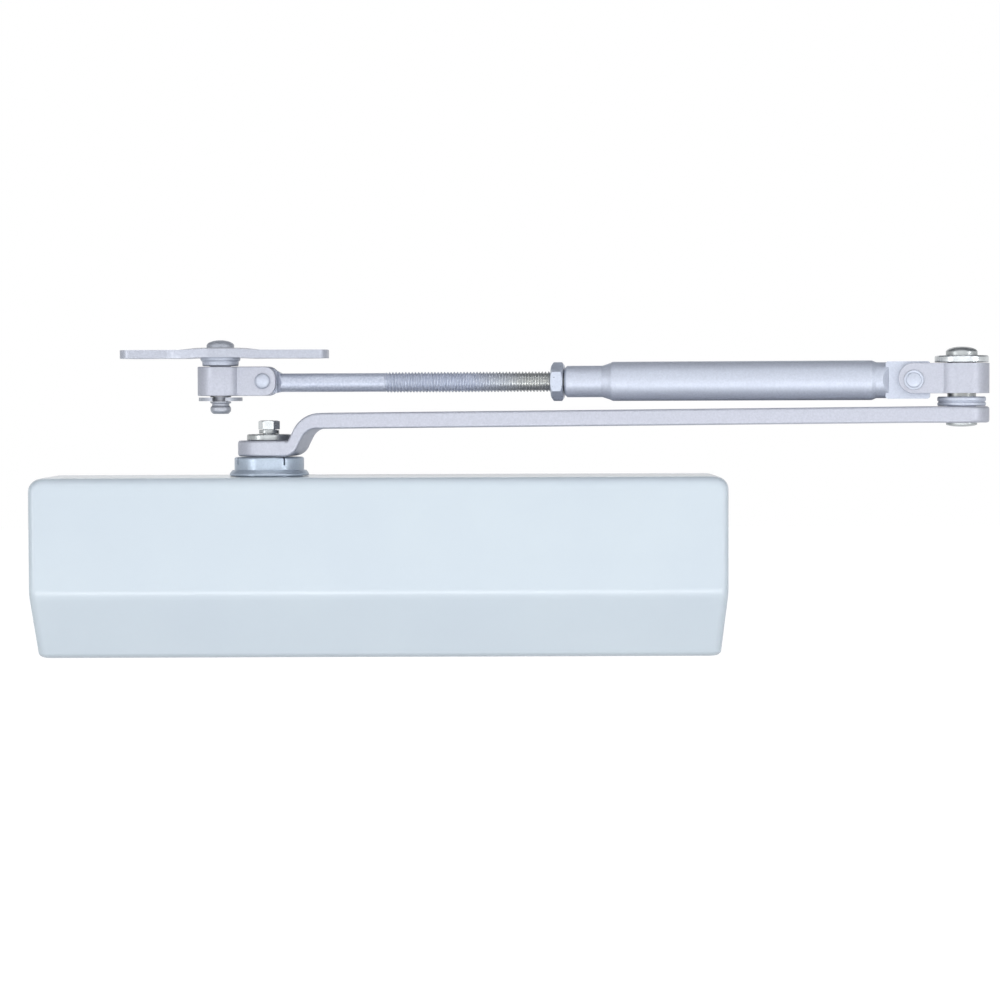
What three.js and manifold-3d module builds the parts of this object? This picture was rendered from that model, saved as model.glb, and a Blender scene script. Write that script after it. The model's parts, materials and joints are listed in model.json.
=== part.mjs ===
// Surface-mounted door closer with a folding two-piece arm.
// Millimetres, +Z up. X runs along the closer's body and -Y looks out into the room.
// The origin is the centre of the body's flat mounting face, which lies in the plane Y = 0.
import * as THREE from "three";
import { mergeVertices } from "three/addons/utils/BufferGeometryUtils.js";
import Module from "manifold-3d";

const wasm = await Module();
wasm.setup();

// ---------------------------------------------------------------- driving dimensions

// Clearances
const seat_gap = 0.12; // between faces that are clamped together
const running_gap = 0.3; // between faces that slide or turn on one another
const bore_gap = 0.2; // radial, shaft in a hole
const thread_gap = 0.3; // radial, screw in its plain hole

// Cover
const cover_length = 264.1;
const cover_wall = 2;
const cover_wall_gap = 0.6; // from the rim to the mounting plane
const cover_front_gap = 2.5; // from the barrel
const cover_boss_gap = 2.3;
const cover_edge_radius = 5; // top and its corners
const cover_corner_radius = 3.2; // upright front corners
const cover_foot_radius = 2.3; // bottom edge
const cover_taper_height = 24.5; // the part below the crease
const cover_front_lean = 20; // degrees, below the crease
const cover_end_lean = 5.5; // degrees, below the crease
const cover_crease_radius = 14;
const cover_rib_from_front = 20;
const cover_rib_width = 1.8;
const cover_rib_place = 92; // from the middle of the body

// Body casting
const cylinder_radius = 18;
const barrel_inset = 20.05; // each end of the barrel from the cover's end
const barrel_wall = 8; // above and below the cylinder
const barrel_front_wall = 3.5;
const barrel_back_wall = 7;
const barrel_corner_radius = 14;
const lug_length = 17;
const lug_height = 50;
const lug_thickness = 7;
const screw_hole_radius = 2.75;
const screw_hole_spacing = 38;
const screw_hole_from_end = 5.8;
const boss_wall = 3.3; // around the bearing cap

// Bearings and seals of the spindle
const journal_radius = 7;
const bearing_pinion_gap = 0.7; // the pinion passes through the bearings' bores
const bearing_length = 7.6;
const cap_wall = 2.9; // around the bearing
const cap_depth = 11.9;
const cap_cylinder_gap = 0.1;
const flange_overhang = 2.3;
const flange_thickness = 2.1;
const flange_bevel = 1;
const collar_overhang = 0.45;
const collar_height = 5;
const spanner_slot_width = 0.7;
const spanner_slot_depth = 2.9;

// Rack and pinion
const tooth_module = 1.5;
const pinion_teeth = 10;
const pressure_angle = 20; // degrees
const profile_shift = 0.5; // in modules
const pinion_addendum = 0.7; // in modules, before the shift
const tooth_root = 1.25; // in modules
const tooth_backlash = 0.36;
const pinion_shoulder = 2.4;
const arm_swing_open = 164; // degrees from rest
const arm_swing_back = 8;

// Piston and spring
const piston_gap = 0.3;
const piston_head = 25;
const piston_tail = 14;
const window_margin = 1.6;
const piston_end_gap = 3.8; // from the left plug
const check_valve_radius = 3.2;
const check_valve_length = 6;
const spring_wire_radius = 2.3;
const spring_gap = 1.7; // from the cylinder
const spring_turns = 12;
const spring_pilot_gap = 0.2;
const spring_steps = 8; // flats to one turn
const spring_pilot_length = 7;
const left_plug_thickness = 8;
const right_plug_thickness = 10;
const plug_key = 10; // across the key hole in each plug
const plug_groove_place = 0.42; // of the plug's thickness, from the cylinder
const seal_radius = 1.3;

// Valve screws in the left end of the barrel
const valve_radius = 2.5;
const valve_length = 15;
const valve_head = 1.2;
const valve_slot = 0.9;
const valve_from_front = 7; // of the barrel
const valve_from_top = 8; // and from the bottom

// Main arm, measured along the arm from the spindle axis
const arm_yaw = 8; // degrees that the folded arms stand off the door
const arm_length = 263;
const arm_thickness = 6.05;
const arm_crank_thickness = 4.4; // where the bend draws the bar out
const arm_rise = 10.55; // crank, from the hub to the bar
const arm_climb = 1.75; // of the bar, from the crank to the elbow
const arm_crank_start = 8.4;
const arm_crank_angle = 63; // degrees
const arm_lower_bend = 3.55; // radii of the crank's centre line
const arm_upper_bend = 8.95;
const arm_flat_end = 16; // level part around the elbow pin
const hub_radius = 11.95;
const hub_neck = 23.4; // width of the bar beside the hub
const arm_elbow_radius = 10.2;
const square_size = 9.4;

// Screw stack on the spindle
const flat_washer_radius = 8.6;
const flat_washer_thickness = 2.3;
const spring_washer_radius = 3.9;
const spring_washer_thickness = 1.6;
const spring_washer_split = 0.8;
const bolt_flats = 7.15;
const bolt_head_height = 3.45;
const bolt_radius = 2.4;
const bolt_length = 20;

// Elbow
const elbow_pin_radius = 5.3;
const elbow_foot_lip = 0.45;
const elbow_foot_height = 1.4;
const elbow_bush_radius = 9.05;
const elbow_bush_height = 3.5;
const elbow_step = 1.25; // bare pin between the bush and the strap
const elbow_washer_radius = 10;
const elbow_washer_thickness = 2.5;
const elbow_head_lip = 0.55;
const elbow_head_height = 3.2;

// Straps that wrap round the pins
const strap_height = 11.2;
const strap_slack = 0.25; // from each plate to what it holds
const elbow_sleeve_wall = 2.08;
const elbow_strap_thickness = 2.5;
const elbow_strap_spread = 15; // over the two plates
const elbow_strap_fillet = 1.6;
const elbow_strap_tail = 5.6; // beyond the rivet
const elbow_rivet_place = 17.6; // from the pin
const elbow_rivet_radius = 2.4;
const elbow_rivet_flange_radius = 3.65;
const elbow_rivet_flange_height = 0.8;
const elbow_rivet_dome_radius = 2.8;
const elbow_rivet_dome_height = 0.7;
const shoe_sleeve_wall = 2.28;
const shoe_strap_thickness = 2.2;
const shoe_strap_spread = 8.6;
const shoe_strap_fillet = 0.8;
const shoe_strap_tail = 5;
const shoe_strap_corner = 4.2;
const shoe_rivet_place = 17.4;
const shoe_rivet_radius = 2.2;
const shoe_rivet_head_radius = 3;
const shoe_rivet_head_height = 1.5;

// Forearm, measured from the shoe pin towards the elbow unless it says otherwise
const shoe_reach = 19; // of the shoe's pin beyond the spindle
const forearm_drop = 0.65; // of its axis below the middle of the straps
const tube_start = 133.8;
const tube_radius = 7.4;
const tube_bore = 5.6;
const tube_neck_radius = 5.95;
const tube_neck_length = 14.1;
const tube_shoulder = 3.9;
const tube_end_neck_radius = 6.7;
const tube_end_neck_place = 33.1; // from the elbow pin
const tube_end_shoulder = 1.6;
const tongue_height = 13.9;
const tongue_start_place = 26.8; // from the elbow pin
const tongue_slope = 2.2;
const tongue_end_place = 11.6; // from the elbow pin
const tongue_corner = 1;
const rod_radius = 3.9; // over the thread
const rod_shank_radius = 3.6; // the plain part
const rod_end = 175;
const rod_thread_start = 64;
const rod_flat_height = 9.4;
const rod_flat_end = 24;
const nut_flats = 12.7;
const nut_thickness = 4.7;
const nut_gap = 0.5; // from the tube

// Shoe
const shoe_plate_length = 79.8;
const shoe_plate_offset = 1.7; // of the plate's middle from the pin
const shoe_plate_thickness = 3.2;
const shoe_ear_width = 18;
const shoe_ear_corner = 5;
const shoe_ear_root = 20.6; // where the ears meet the round middle
const shoe_ear_fillet = 4;
const shoe_centre_radius = 14.5;
const shoe_raised_foot = 17; // the raised seat is a low cone
const shoe_raised_radius = 10;
const shoe_raised_height = 0.8;
const shoe_hole_radius = 2.75;
const shoe_hole_spacing = 64;
const shoe_bush_radius = 7.65;
const shoe_bush_neck = 7;
const shoe_bush_neck_height = 1.8;
const shoe_bush_height = 3.6;
const shoe_pin_radius = 4;
const shoe_head_lip = 1.3;
const shoe_head_height = 2.9;
const ring_float = 0.6; // from the strap to the retaining ring
const shoe_pin_collar = 0.9; // below the retaining ring
const shoe_pin_neck_depth = 0.7;
const shoe_pin_neck_length = 0.7;
const shoe_pin_end_step = 0.05;
const shoe_pin_end_height = 3.2;
const ring_groove_depth = 1;
const ring_radius = 8.4;
const ring_thickness = 1.4;
const ring_opening = 5;

// Facets: sides of a turned piece, and degrees to one step of an arc
const arc_step = 12;
const large = 28;
const medium = 20;
const small = 12;

// ---------------------------------------------------------------- derived places

const rad = THREE.MathUtils.degToRad;
const pitch_radius = (tooth_module * pinion_teeth) / 2;
const pinion_tip = pitch_radius + tooth_module * (pinion_addendum + profile_shift);
const pinion_root = pitch_radius - tooth_module * (tooth_root - profile_shift);
const rack_line = pitch_radius + tooth_module * profile_shift;
const rack_tip = rack_line - tooth_module;
const rack_root = pinion_tip + running_gap;
const tooth_pitch = Math.PI * tooth_module;
const travel_open = pitch_radius * rad(arm_swing_open);
const travel_back = pitch_radius * rad(arm_swing_back);
const piston_radius = cylinder_radius - piston_gap;
const window_left = -travel_open - pinion_tip - window_margin;
const window_right = travel_back + pinion_tip + window_margin;
const piston_left = window_left - piston_head;
const piston_right = window_right + piston_tail;
const half_gear = piston_radius - 1.1; // half the pinion's length
const spring_radius = cylinder_radius - spring_gap - spring_wire_radius; // to the wire's centre
const spring_inner = spring_radius * Math.cos(Math.PI / spring_steps) - spring_wire_radius;
const spring_pilot_radius = spring_inner - spring_pilot_gap;

const bearing_radius = pinion_tip + bearing_pinion_gap;
const cap_radius = bearing_radius + cap_wall;
const boss_radius = cap_radius + boss_wall;
const flange_radius = cap_radius + flange_overhang;
const collar_radius = cap_radius + collar_overhang;
const cap_seat = cylinder_radius + cap_cylinder_gap;
const boss_height = 2 * (cap_seat + cap_depth);

const barrel_length = cover_length - 2 * barrel_inset;
const barrel_height = 2 * (cylinder_radius + barrel_wall);
const spindle_depth = cylinder_radius + barrel_back_wall; // cylinder axis too
const barrel_depth = spindle_depth + cylinder_radius + barrel_front_wall;
const valve_depth = barrel_depth - valve_from_front;
const valve_height = barrel_height / 2 - valve_from_top;
const spindle_x = piston_end_gap + left_plug_thickness - piston_left - barrel_length / 2;
const cylinder_y = -spindle_depth;
const cover_height = boss_height + 2 * (cover_boss_gap + cover_wall);
const cover_top = cover_height / 2;
const boss_taper = cover_taper_height - (cover_height - boss_height) / 2; // height below the crease
const boss_front = spindle_depth + boss_radius + running_gap + boss_taper * Math.tan(rad(cover_front_lean));
const cover_depth = Math.max(barrel_depth + cover_front_gap, boss_front) + cover_wall;

const flange_bottom = cover_top + running_gap;
const collar_bottom = flange_bottom + flange_thickness;
const collar_top = collar_bottom + collar_height;
const hub_bottom = collar_top + running_gap;
const hub_top = hub_bottom + arm_thickness;
const bar_top = hub_top + arm_rise + arm_climb;
const strap_bottom = bar_top + seat_gap + elbow_bush_height + elbow_step;
const strap_z = strap_bottom + strap_height / 2;
const forearm_z = strap_z - forearm_drop;
const strap_top = strap_bottom + strap_height;

const eye = (pin, wall, thickness) => pin + bore_gap + wall + seat_gap + thickness;
const elbow_strap_radius = eye(elbow_pin_radius, elbow_sleeve_wall, elbow_strap_thickness);
const shoe_strap_radius = eye(shoe_pin_radius, shoe_sleeve_wall, shoe_strap_thickness);
const forearm_length = arm_length + shoe_reach;
const tube_end_neck_start = forearm_length - tube_end_neck_place;
const tongue_start = forearm_length - tongue_start_place;
const tongue_end = forearm_length - tongue_end_place;
const tongue_thickness = elbow_strap_spread - 2 * (elbow_strap_thickness + strap_slack);
const rod_flat_thickness = shoe_strap_spread - 2 * (shoe_strap_thickness + strap_slack);
const elbow_foot_radius = elbow_pin_radius + elbow_foot_lip;
const elbow_head_radius = elbow_pin_radius + elbow_head_lip;
const shoe_head_radius = shoe_pin_radius + shoe_head_lip;
const shoe_pin_neck_radius = shoe_pin_radius - shoe_pin_neck_depth;
const shoe_pin_end_radius = shoe_pin_radius - shoe_pin_end_step;
const ring_groove_radius = shoe_pin_radius - ring_groove_depth;

// ---------------------------------------------------------------- solids

// A closed three.js geometry as a solid that can be joined and cut.
function solid(geometry) {
  const bare = geometry.index ? geometry.toNonIndexed() : geometry.clone();
  bare.deleteAttribute("normal");
  bare.deleteAttribute("uv");
  const merged = mergeVertices(bare, 1e-4);
  const corners = merged.index.array;
  const kept = [];
  for (let i = 0; i < corners.length; i += 3) {
    const [a, b, c] = [corners[i], corners[i + 1], corners[i + 2]];
    if (a !== b && b !== c && c !== a) kept.push(a, b, c);
  }
  const mesh = new wasm.Mesh({
    numProp: 3,
    vertProperties: new Float32Array(merged.attributes.position.array),
    triVerts: new Uint32Array(kept),
  });
  return new wasm.Manifold(mesh);
}

function geometryOf(body) {
  const mesh = body.getMesh();
  const geometry = new THREE.BufferGeometry();
  geometry.setAttribute("position", new THREE.BufferAttribute(mesh.vertProperties, 3));
  geometry.setIndex(new THREE.BufferAttribute(mesh.triVerts, 1));
  geometry.computeVertexNormals();
  return geometry;
}

const joined = (...bodies) => bodies.reduce((whole, body) => whole.add(body));
const cut = (body, ...tools) => tools.reduce((rest, tool) => rest.subtract(tool), body);

// A plate whose outline lies in X and Y.
function slab(shape, bottom, top) {
  const options = { depth: top - bottom, bevelEnabled: false };
  return solid(new THREE.ExtrudeGeometry(shape, options).translate(0, 0, bottom));
}

// A plate whose outline lies in X and Z.
function slabAlongY(shape, from, to) {
  const options = { depth: to - from, bevelEnabled: false };
  const geometry = new THREE.ExtrudeGeometry(shape, options).rotateX(Math.PI / 2);
  return solid(geometry.translate(0, to, 0));
}

// A bar whose outline lies in Y and Z.
function slabAlongX(shape, from, to) {
  const options = { depth: to - from, bevelEnabled: false };
  const turn = new THREE.Matrix4().makeBasis(
    new THREE.Vector3(0, 1, 0),
    new THREE.Vector3(0, 0, 1),
    new THREE.Vector3(1, 0, 0),
  );
  return solid(new THREE.ExtrudeGeometry(shape, options).applyMatrix4(turn).translate(from, 0, 0));
}

// A turned piece about Z. Each point of its outline is [radius, height].
function turned(outline, sides = medium) {
  const points = outline.map(([radius, height]) => new THREE.Vector2(radius, height));
  return solid(new THREE.LatheGeometry(points, sides).rotateX(Math.PI / 2));
}

// The same about the X or the Y axis, with heights along that axis.
const turnedAlongX = (outline, sides) => turned(outline, sides).rotate([0, 90, 0]);
const turnedAlongY = (outline, sides) => turned(outline, sides).rotate([-90, 0, 0]);

const rod = (radius, bottom, top) => [[0, bottom], [radius, bottom], [radius, top], [0, top]];

const ring = (inner, outer, bottom, top) =>
  [[inner, bottom], [outer, bottom], [outer, top], [inner, top], [inner, bottom]];

// A low dome on a short rim, from the edge to the axis.
function dome(radius, height, base, rim, steps = 4) {
  const points = [[radius, base]];
  for (let i = 0; i <= steps; i += 1) {
    const angle = ((Math.PI / 2) * i) / steps;
    points.push([radius * Math.cos(angle), base + rim + (height - rim) * Math.sin(angle)]);
  }
  points[points.length - 1][0] = 0;
  return points;
}

// A plain block between two opposite corners.
function block([x0, y0, z0], [x1, y1, z1]) {
  const geometry = new THREE.BoxGeometry(x1 - x0, y1 - y0, z1 - z0);
  return solid(geometry.translate((x0 + x1) / 2, (y0 + y1) / 2, (z0 + z1) / 2));
}

function polygon(points) {
  return new THREE.Shape(points.map(([x, y]) => new THREE.Vector2(x, y)));
}

// Points along an arc, from one angle to another, closer together on a large one.
function arc(x, y, radius, from, to) {
  const step = radius > 5 ? arc_step : 2 * arc_step;
  const count = Math.max(1, Math.ceil(Math.abs(to - from) / rad(step) - 0.01));
  return Array.from({ length: count + 1 }, (_, i) => {
    const angle = from + ((to - from) * i) / count;
    return [x + radius * Math.cos(angle), y + radius * Math.sin(angle)];
  });
}

const circle = (radius) => polygon(arc(0, 0, radius, 0, 2 * Math.PI).slice(1));

// A rectangle with rounded corners, from one corner to the opposite one.
function roundedRectangle(x0, y0, x1, y1, radius) {
  const quarter = Math.PI / 2;
  return polygon([
    ...arc(x1 - radius, y1 - radius, radius, 0, quarter),
    ...arc(x0 + radius, y1 - radius, radius, quarter, 2 * quarter),
    ...arc(x0 + radius, y0 + radius, radius, 2 * quarter, 3 * quarter),
    ...arc(x1 - radius, y0 + radius, radius, 3 * quarter, 4 * quarter),
  ]);
}

const ngon = (count, radius) => Array.from({ length: count }, (_, i) => {
  const angle = (2 * Math.PI * i) / count;
  return [radius * Math.cos(angle), radius * Math.sin(angle)];
});

const hexagon = (flats) => polygon(ngon(6, flats / Math.sqrt(3)));

// ---------------------------------------------------------------- cover

// How far the cover's front and ends draw in at each height, from the foot to the top.
function coverLevels(inset) {
  const top = cover_top - inset;
  const bottom = -cover_top + inset;
  const crease = -cover_top + cover_taper_height;
  const lean = rad(cover_front_lean);
  const bend = cover_crease_radius * Math.tan(lean / 2);
  const share = Math.tan(rad(cover_end_lean)) / Math.tan(lean);
  const draft = (z) => Math.max(0, crease - z) * Math.tan(lean);
  const levels = [];
  const add = (z, front, end = front * share) => levels.push({ z, front, end });

  const foot = Math.max(cover_foot_radius - inset, 0.3);
  const steps = 4;
  for (let i = 0; i < steps; i += 1) {
    const angle = ((Math.PI / 2) * i) / steps;
    const drawn = foot * (1 - Math.sin(angle));
    const z = bottom + foot * (1 - Math.cos(angle));
    add(z, draft(z) + drawn, draft(z) * share + drawn);
  }
  add(crease - bend * Math.cos(lean), bend * Math.sin(lean));
  for (let i = 1; i < steps; i += 1) {
    const angle = lean * (1 - i / steps);
    const z = crease + bend - cover_crease_radius * Math.sin(angle);
    add(z, cover_crease_radius * (1 - Math.cos(angle)));
  }
  add(crease + bend, 0);
  const edge = cover_edge_radius - inset;
  for (let i = 0; i <= 6; i += 1) {
    const angle = ((Math.PI / 2) * i) / 6;
    const drawn = edge * (1 - Math.cos(angle));
    add(top - edge + edge * Math.sin(angle), drawn, drawn);
  }
  return levels;
}

// The cover's outer form, or its hollow when it is drawn in by the wall.
function coverForm(inset, back) {
  const half = cover_length / 2 - inset;
  const front = -cover_depth + inset;
  const corner = cover_corner_radius - inset;
  const outline = polygon([
    [half, back],
    [-half, back],
    ...arc(-half + corner, front + corner, corner, Math.PI, 1.5 * Math.PI),
    ...arc(half - corner, front + corner, corner, 1.5 * Math.PI, 2 * Math.PI),
  ]);
  const levels = coverLevels(inset);
  const last = levels.length - 1;
  const options = { depth: last, steps: last, bevelEnabled: false };
  const geometry = new THREE.ExtrudeGeometry(outline, options);
  const place = geometry.attributes.position;
  for (let i = 0; i < place.count; i += 1) {
    const level = levels[Math.round(place.getZ(i))];
    const x = place.getX(i) * (1 - level.end / half);
    const y = back + (place.getY(i) - back) * (1 + level.front / (front - back));
    place.setXYZ(i, x, y, level.z);
  }
  return solid(geometry);
}

// Slot in the top of the cover that lets it slide over the spindle's bearing cap.
function capSlot(radius, bottom, top) {
  return slab(polygon([
    [spindle_x + radius, 1],
    [spindle_x - radius, 1],
    ...arc(spindle_x, cylinder_y, radius, Math.PI, 2 * Math.PI),
  ]), bottom, top);
}

// Ribs inside the cover that rest on the top and bottom of the barrel.
function coverRibs() {
  const seat = barrel_height / 2 + running_gap;
  const root = cover_top - cover_wall / 2;
  const front = -cover_depth + cover_rib_from_front;
  const ribs = [];
  for (const x of [-cover_rib_place, cover_rib_place]) {
    const [x0, x1] = [x - cover_rib_width / 2, x + cover_rib_width / 2];
    ribs.push(block([x0, front, seat], [x1, -cover_wall_gap - 3, root]));
    ribs.push(block([x0, front, -root], [x1, -cover_wall_gap - 3, -seat]));
  }
  return ribs;
}

function coverShell() {
  const outer = coverForm(0, -cover_wall_gap);
  const hollow = coverForm(cover_wall, 1);
  const slot = capSlot(cap_radius + running_gap, 0, cover_top + 1);
  return joined(cut(outer, hollow, slot), ...coverRibs());
}

// ---------------------------------------------------------------- body

function bodyCasting() {
  const half = barrel_length / 2;
  const [rise, front, corner] = [barrel_height / 2, -barrel_depth, barrel_corner_radius];
  const barrel = slabAlongX(polygon([
    [0, -rise],
    [0, rise],
    ...arc(front + corner, rise - corner, corner, Math.PI / 2, Math.PI),
    ...arc(front + corner, -rise + corner, corner, Math.PI, 1.5 * Math.PI),
  ]), -half, half);
  const reach = half + lug_length - 4;
  const lugs = roundedRectangle(-reach, -lug_height / 2, reach, lug_height / 2, 5);
  const boss = turned(rod(boss_radius, -boss_height / 2, boss_height / 2), large);
  const bossPlace = [spindle_x, cylinder_y, 0];

  const cylinder = turnedAlongX(rod(cylinder_radius, -half - 1, half + 1), large);
  const capHole = turned(rod(cap_radius + thread_gap, cap_seat - seat_gap, cover_top), large);
  const lowerCapHole = capHole.mirror([0, 0, 1]);
  const spindleHole = turned(rod(bearing_radius + thread_gap, -cap_seat - 1, cap_seat + 1), medium);
  const screwHole = turnedAlongY(rod(screw_hole_radius, -lug_thickness - 1, 1), small);
  const holes = [];
  for (const x of [-reach + screw_hole_from_end, reach - screw_hole_from_end]) {
    for (const z of [-screw_hole_spacing / 2, screw_hole_spacing / 2]) {
      holes.push(screwHole.translate([x, 0, z]));
    }
  }
  const valveHole = turnedAlongX(rod(valve_radius + thread_gap, -half - 1, -half + valve_length), small);
  for (const z of [-valve_height, valve_height]) {
    holes.push(valveHole.translate([0, -valve_depth, z]));
  }
  return cut(
    joined(barrel, slabAlongY(lugs, -lug_thickness, 0), boss.translate(bossPlace)),
    cylinder.translate([0, cylinder_y, 0]),
    capHole.translate(bossPlace),
    lowerCapHole.translate(bossPlace),
    spindleHole.translate(bossPlace),
    ...holes,
  );
}

// Screwed cap that holds the upper bearing. Its flange covers the slot in the cover.
function upperBearingCap() {
  const bearing = bearing_radius + seat_gap;
  const shaft = journal_radius + bore_gap;
  const bearingTop = cap_seat + bearing_length + seat_gap;
  const outline = [
    [bearing, cap_seat],
    [cap_radius, cap_seat],
    [cap_radius, flange_bottom],
    [flange_radius, flange_bottom],
    [flange_radius, flange_bottom + flange_thickness / 3],
    [flange_radius - flange_bevel, collar_bottom],
    [collar_radius, collar_bottom],
    [collar_radius, collar_top - 0.5],
    [collar_radius - 0.5, collar_top],
    [shaft, collar_top],
    [shaft, bearingTop],
    [bearing, bearingTop],
    [bearing, cap_seat],
  ];
  const half = spanner_slot_width / 2;
  const slot = block(
    [-half, -collar_radius - 1, collar_top - spanner_slot_depth],
    [half, -collar_radius + 2.4, collar_top + 1],
  );
  const slots = [0, 1, 2, 3].map((i) => slot.rotate([0, 0, 30 + 90 * i]));
  return cut(turned(outline, large), ...slots);
}

// Screwed plug that holds the lower bearing, with a hexagon socket below.
function lowerBearingCap() {
  const floor = -cap_seat - bearing_length - seat_gap;
  const bearing = bearing_radius + seat_gap;
  const outline = [
    [0, -boss_height / 2],
    [cap_radius, -boss_height / 2],
    [cap_radius, -cap_seat],
    [bearing, -cap_seat],
    [bearing, floor],
    [0, floor],
  ];
  const socket = slab(hexagon(plug_key), -boss_height / 2 - 1, -boss_height / 2 + 2.6);
  return cut(turned(outline, large), socket);
}

function spindleBearing(seat) {
  const inner = journal_radius + bore_gap;
  const [bottom, top] = seat > 0 ? [seat, seat + bearing_length] : [seat - bearing_length, seat];
  return turned(ring(inner, bearing_radius, bottom, top), medium);
}

// Screwed plug for one end of the cylinder, with its hexagon socket outside.
function endPlug(thickness) {
  const radius = cylinder_radius - thread_gap;
  const groove = radius - 2 * seal_radius;
  const middle = thickness * plug_groove_place;
  const outline = [
    [0, 0],
    [radius, 0],
    [radius, middle - seal_radius - seat_gap],
    [groove, middle - seal_radius - seat_gap],
    [groove, middle + seal_radius + seat_gap],
    [radius, middle + seal_radius + seat_gap],
    [radius, thickness],
    [0, thickness],
  ];
  const socket = slab(hexagon(plug_key), thickness - 3.5, thickness + 1);
  return cut(turned(outline, large), socket).rotate([0, 90, 0]);
}

function plugSeal(thickness) {
  const radius = cylinder_radius - thread_gap - seal_radius;
  const section = ngon(6, seal_radius - bore_gap)
    .map(([out, up]) => [radius + out, thickness * plug_groove_place + up]);
  return turned([...section, section[0]], medium).rotate([0, 90, 0]);
}

function valveScrew() {
  const half = barrel_length / 2;
  const body = turnedAlongX([
    [0, -half - valve_head],
    [valve_radius - 0.4, -half - valve_head],
    [valve_radius, -half - valve_head + 0.4],
    [valve_radius, -half + valve_length - 5],
    [0, -half + valve_length - 1],
  ], small);
  const slot = block(
    [-half - valve_head - 1, -valve_slot / 2, -valve_radius - 1],
    [-half - valve_head + 1.2, valve_slot / 2, valve_radius + 1],
  );
  return cut(body, slot);
}

// ---------------------------------------------------------------- rack, pinion, piston and spring

// Outline of the pinion: involute flanks above the base circle and radial ones below it.
function pinionOutline() {
  const alpha = rad(pressure_angle);
  const involute = (angle) => Math.tan(angle) - angle;
  const base = pitch_radius * Math.cos(alpha);
  const thickness = tooth_module * (Math.PI / 2 + 2 * profile_shift * Math.tan(alpha));
  const halfAtPitch = thickness / 2 / pitch_radius;
  const halfAt = (radius) =>
    halfAtPitch + involute(alpha) - involute(Math.acos(Math.min(1, base / radius)));
  const flank = [pinion_root];
  const steps = 3;
  for (let i = 0; i <= steps; i += 1) {
    flank.push(base + ((pinion_tip - base) * i) / steps);
  }
  const points = [];
  for (let tooth = 0; tooth < pinion_teeth; tooth += 1) {
    // A space between two teeth faces +Y, where the rack's middle tooth stands.
    const middle = Math.PI / 2 + ((tooth + 0.5) * 2 * Math.PI) / pinion_teeth;
    const put = (radius, angle) => points.push([radius * Math.cos(angle), radius * Math.sin(angle)]);
    flank.forEach((radius) => put(radius, middle - halfAt(radius)));
    flank.toReversed().forEach((radius) => put(radius, middle + halfAt(radius)));
  }
  return points;
}

// Spindle with its pinion, two journals and the square that drives the arm.
function spindle() {
  const bottom = -cap_seat - bearing_length;
  const shaft = turned([
    [0, bottom],
    [journal_radius - 0.6, bottom],
    [journal_radius, bottom + 0.6],
    [journal_radius, -cap_seat + seat_gap],
    [pinion_root + pinion_shoulder - 0.1, -cap_seat + seat_gap],
    [pinion_root + pinion_shoulder - 0.1, -half_gear + 0.1],
    [pinion_root - 0.4, -half_gear + 0.1],
    [pinion_root - 0.4, half_gear - 0.1],
    [pinion_root + pinion_shoulder - 0.1, half_gear - 0.1],
    [pinion_root + pinion_shoulder - 0.1, cap_seat - seat_gap],
    [journal_radius, cap_seat - seat_gap],
    [journal_radius, hub_bottom - running_gap / 2],
    [0, hub_bottom - running_gap / 2],
  ], medium);
  const gear = slab(polygon(pinionOutline()), -half_gear, half_gear);
  const half = square_size / 2;
  const squareShape = roundedRectangle(-half, -half, half, half, 1);
  const square = slab(squareShape, hub_bottom - running_gap, hub_top - seat_gap * 2)
    .rotate([0, 0, -arm_yaw]);
  const hole = turned(rod(bolt_radius + thread_gap, hub_top - bolt_length, hub_top + 1), small);
  return cut(joined(shaft, gear, square), hole);
}

// Window through the piston, with the rack left standing on its back wall.
function pistonWindow(height) {
  const front = -pinion_tip - running_gap;
  const slope = Math.tan(rad(pressure_angle));
  const points = [[window_right, front], [window_right, rack_root]];
  const halfAtLine = tooth_pitch / 4 - tooth_backlash / 2;
  const last = Math.floor((window_right - tooth_pitch) / tooth_pitch);
  const first = Math.ceil((window_left + tooth_pitch) / tooth_pitch);
  for (let tooth = last; tooth >= first; tooth -= 1) {
    const middle = tooth * tooth_pitch;
    const halfAtRoot = halfAtLine + (rack_root - rack_line) * slope;
    const halfAtTip = halfAtLine - (rack_line - rack_tip) * slope;
    points.push([middle + halfAtRoot, rack_root], [middle + halfAtTip, rack_tip]);
    points.push([middle - halfAtTip, rack_tip], [middle - halfAtRoot, rack_root]);
  }
  points.push([window_left, rack_root], [window_left, front]);
  return slab(polygon(points), -height, height);
}

function piston() {
  const radius = piston_radius;
  const body = turnedAlongX([
    [0, piston_left],
    [radius - 0.8, piston_left],
    [radius, piston_left + 0.8],
    [radius, piston_right - 0.8],
    [radius - 0.8, piston_right],
    [spring_pilot_radius, piston_right],
    [spring_pilot_radius, piston_right + spring_pilot_length - 1],
    [spring_pilot_radius - 1, piston_right + spring_pilot_length],
    [0, piston_right + spring_pilot_length],
  ], large);
  const valveSeat = turnedAlongX(
    rod(check_valve_radius + seat_gap, piston_left - 1, piston_left + check_valve_length),
    small,
  );
  const passage = turnedAlongX(rod(1.4, piston_left - 1, piston_left + piston_head + 2), small);
  return cut(body, pistonWindow(radius + 1), valveSeat, passage);
}

function checkValve() {
  const start = piston_left + 0.3;
  const end = piston_left + check_valve_length - seat_gap;
  return turnedAlongX(ring(1, check_valve_radius, start, end), small);
}

class Coil extends THREE.Curve {
  constructor(start, length) {
    super();
    this.start = start;
    this.length = length;
  }

  getPoint(t, target = new THREE.Vector3()) {
    const angle = 2 * Math.PI * spring_turns * t;
    const [y, z] = [spring_radius * Math.cos(angle), spring_radius * Math.sin(angle)];
    return target.set(this.start + this.length * t, y, z);
  }
}

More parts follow.
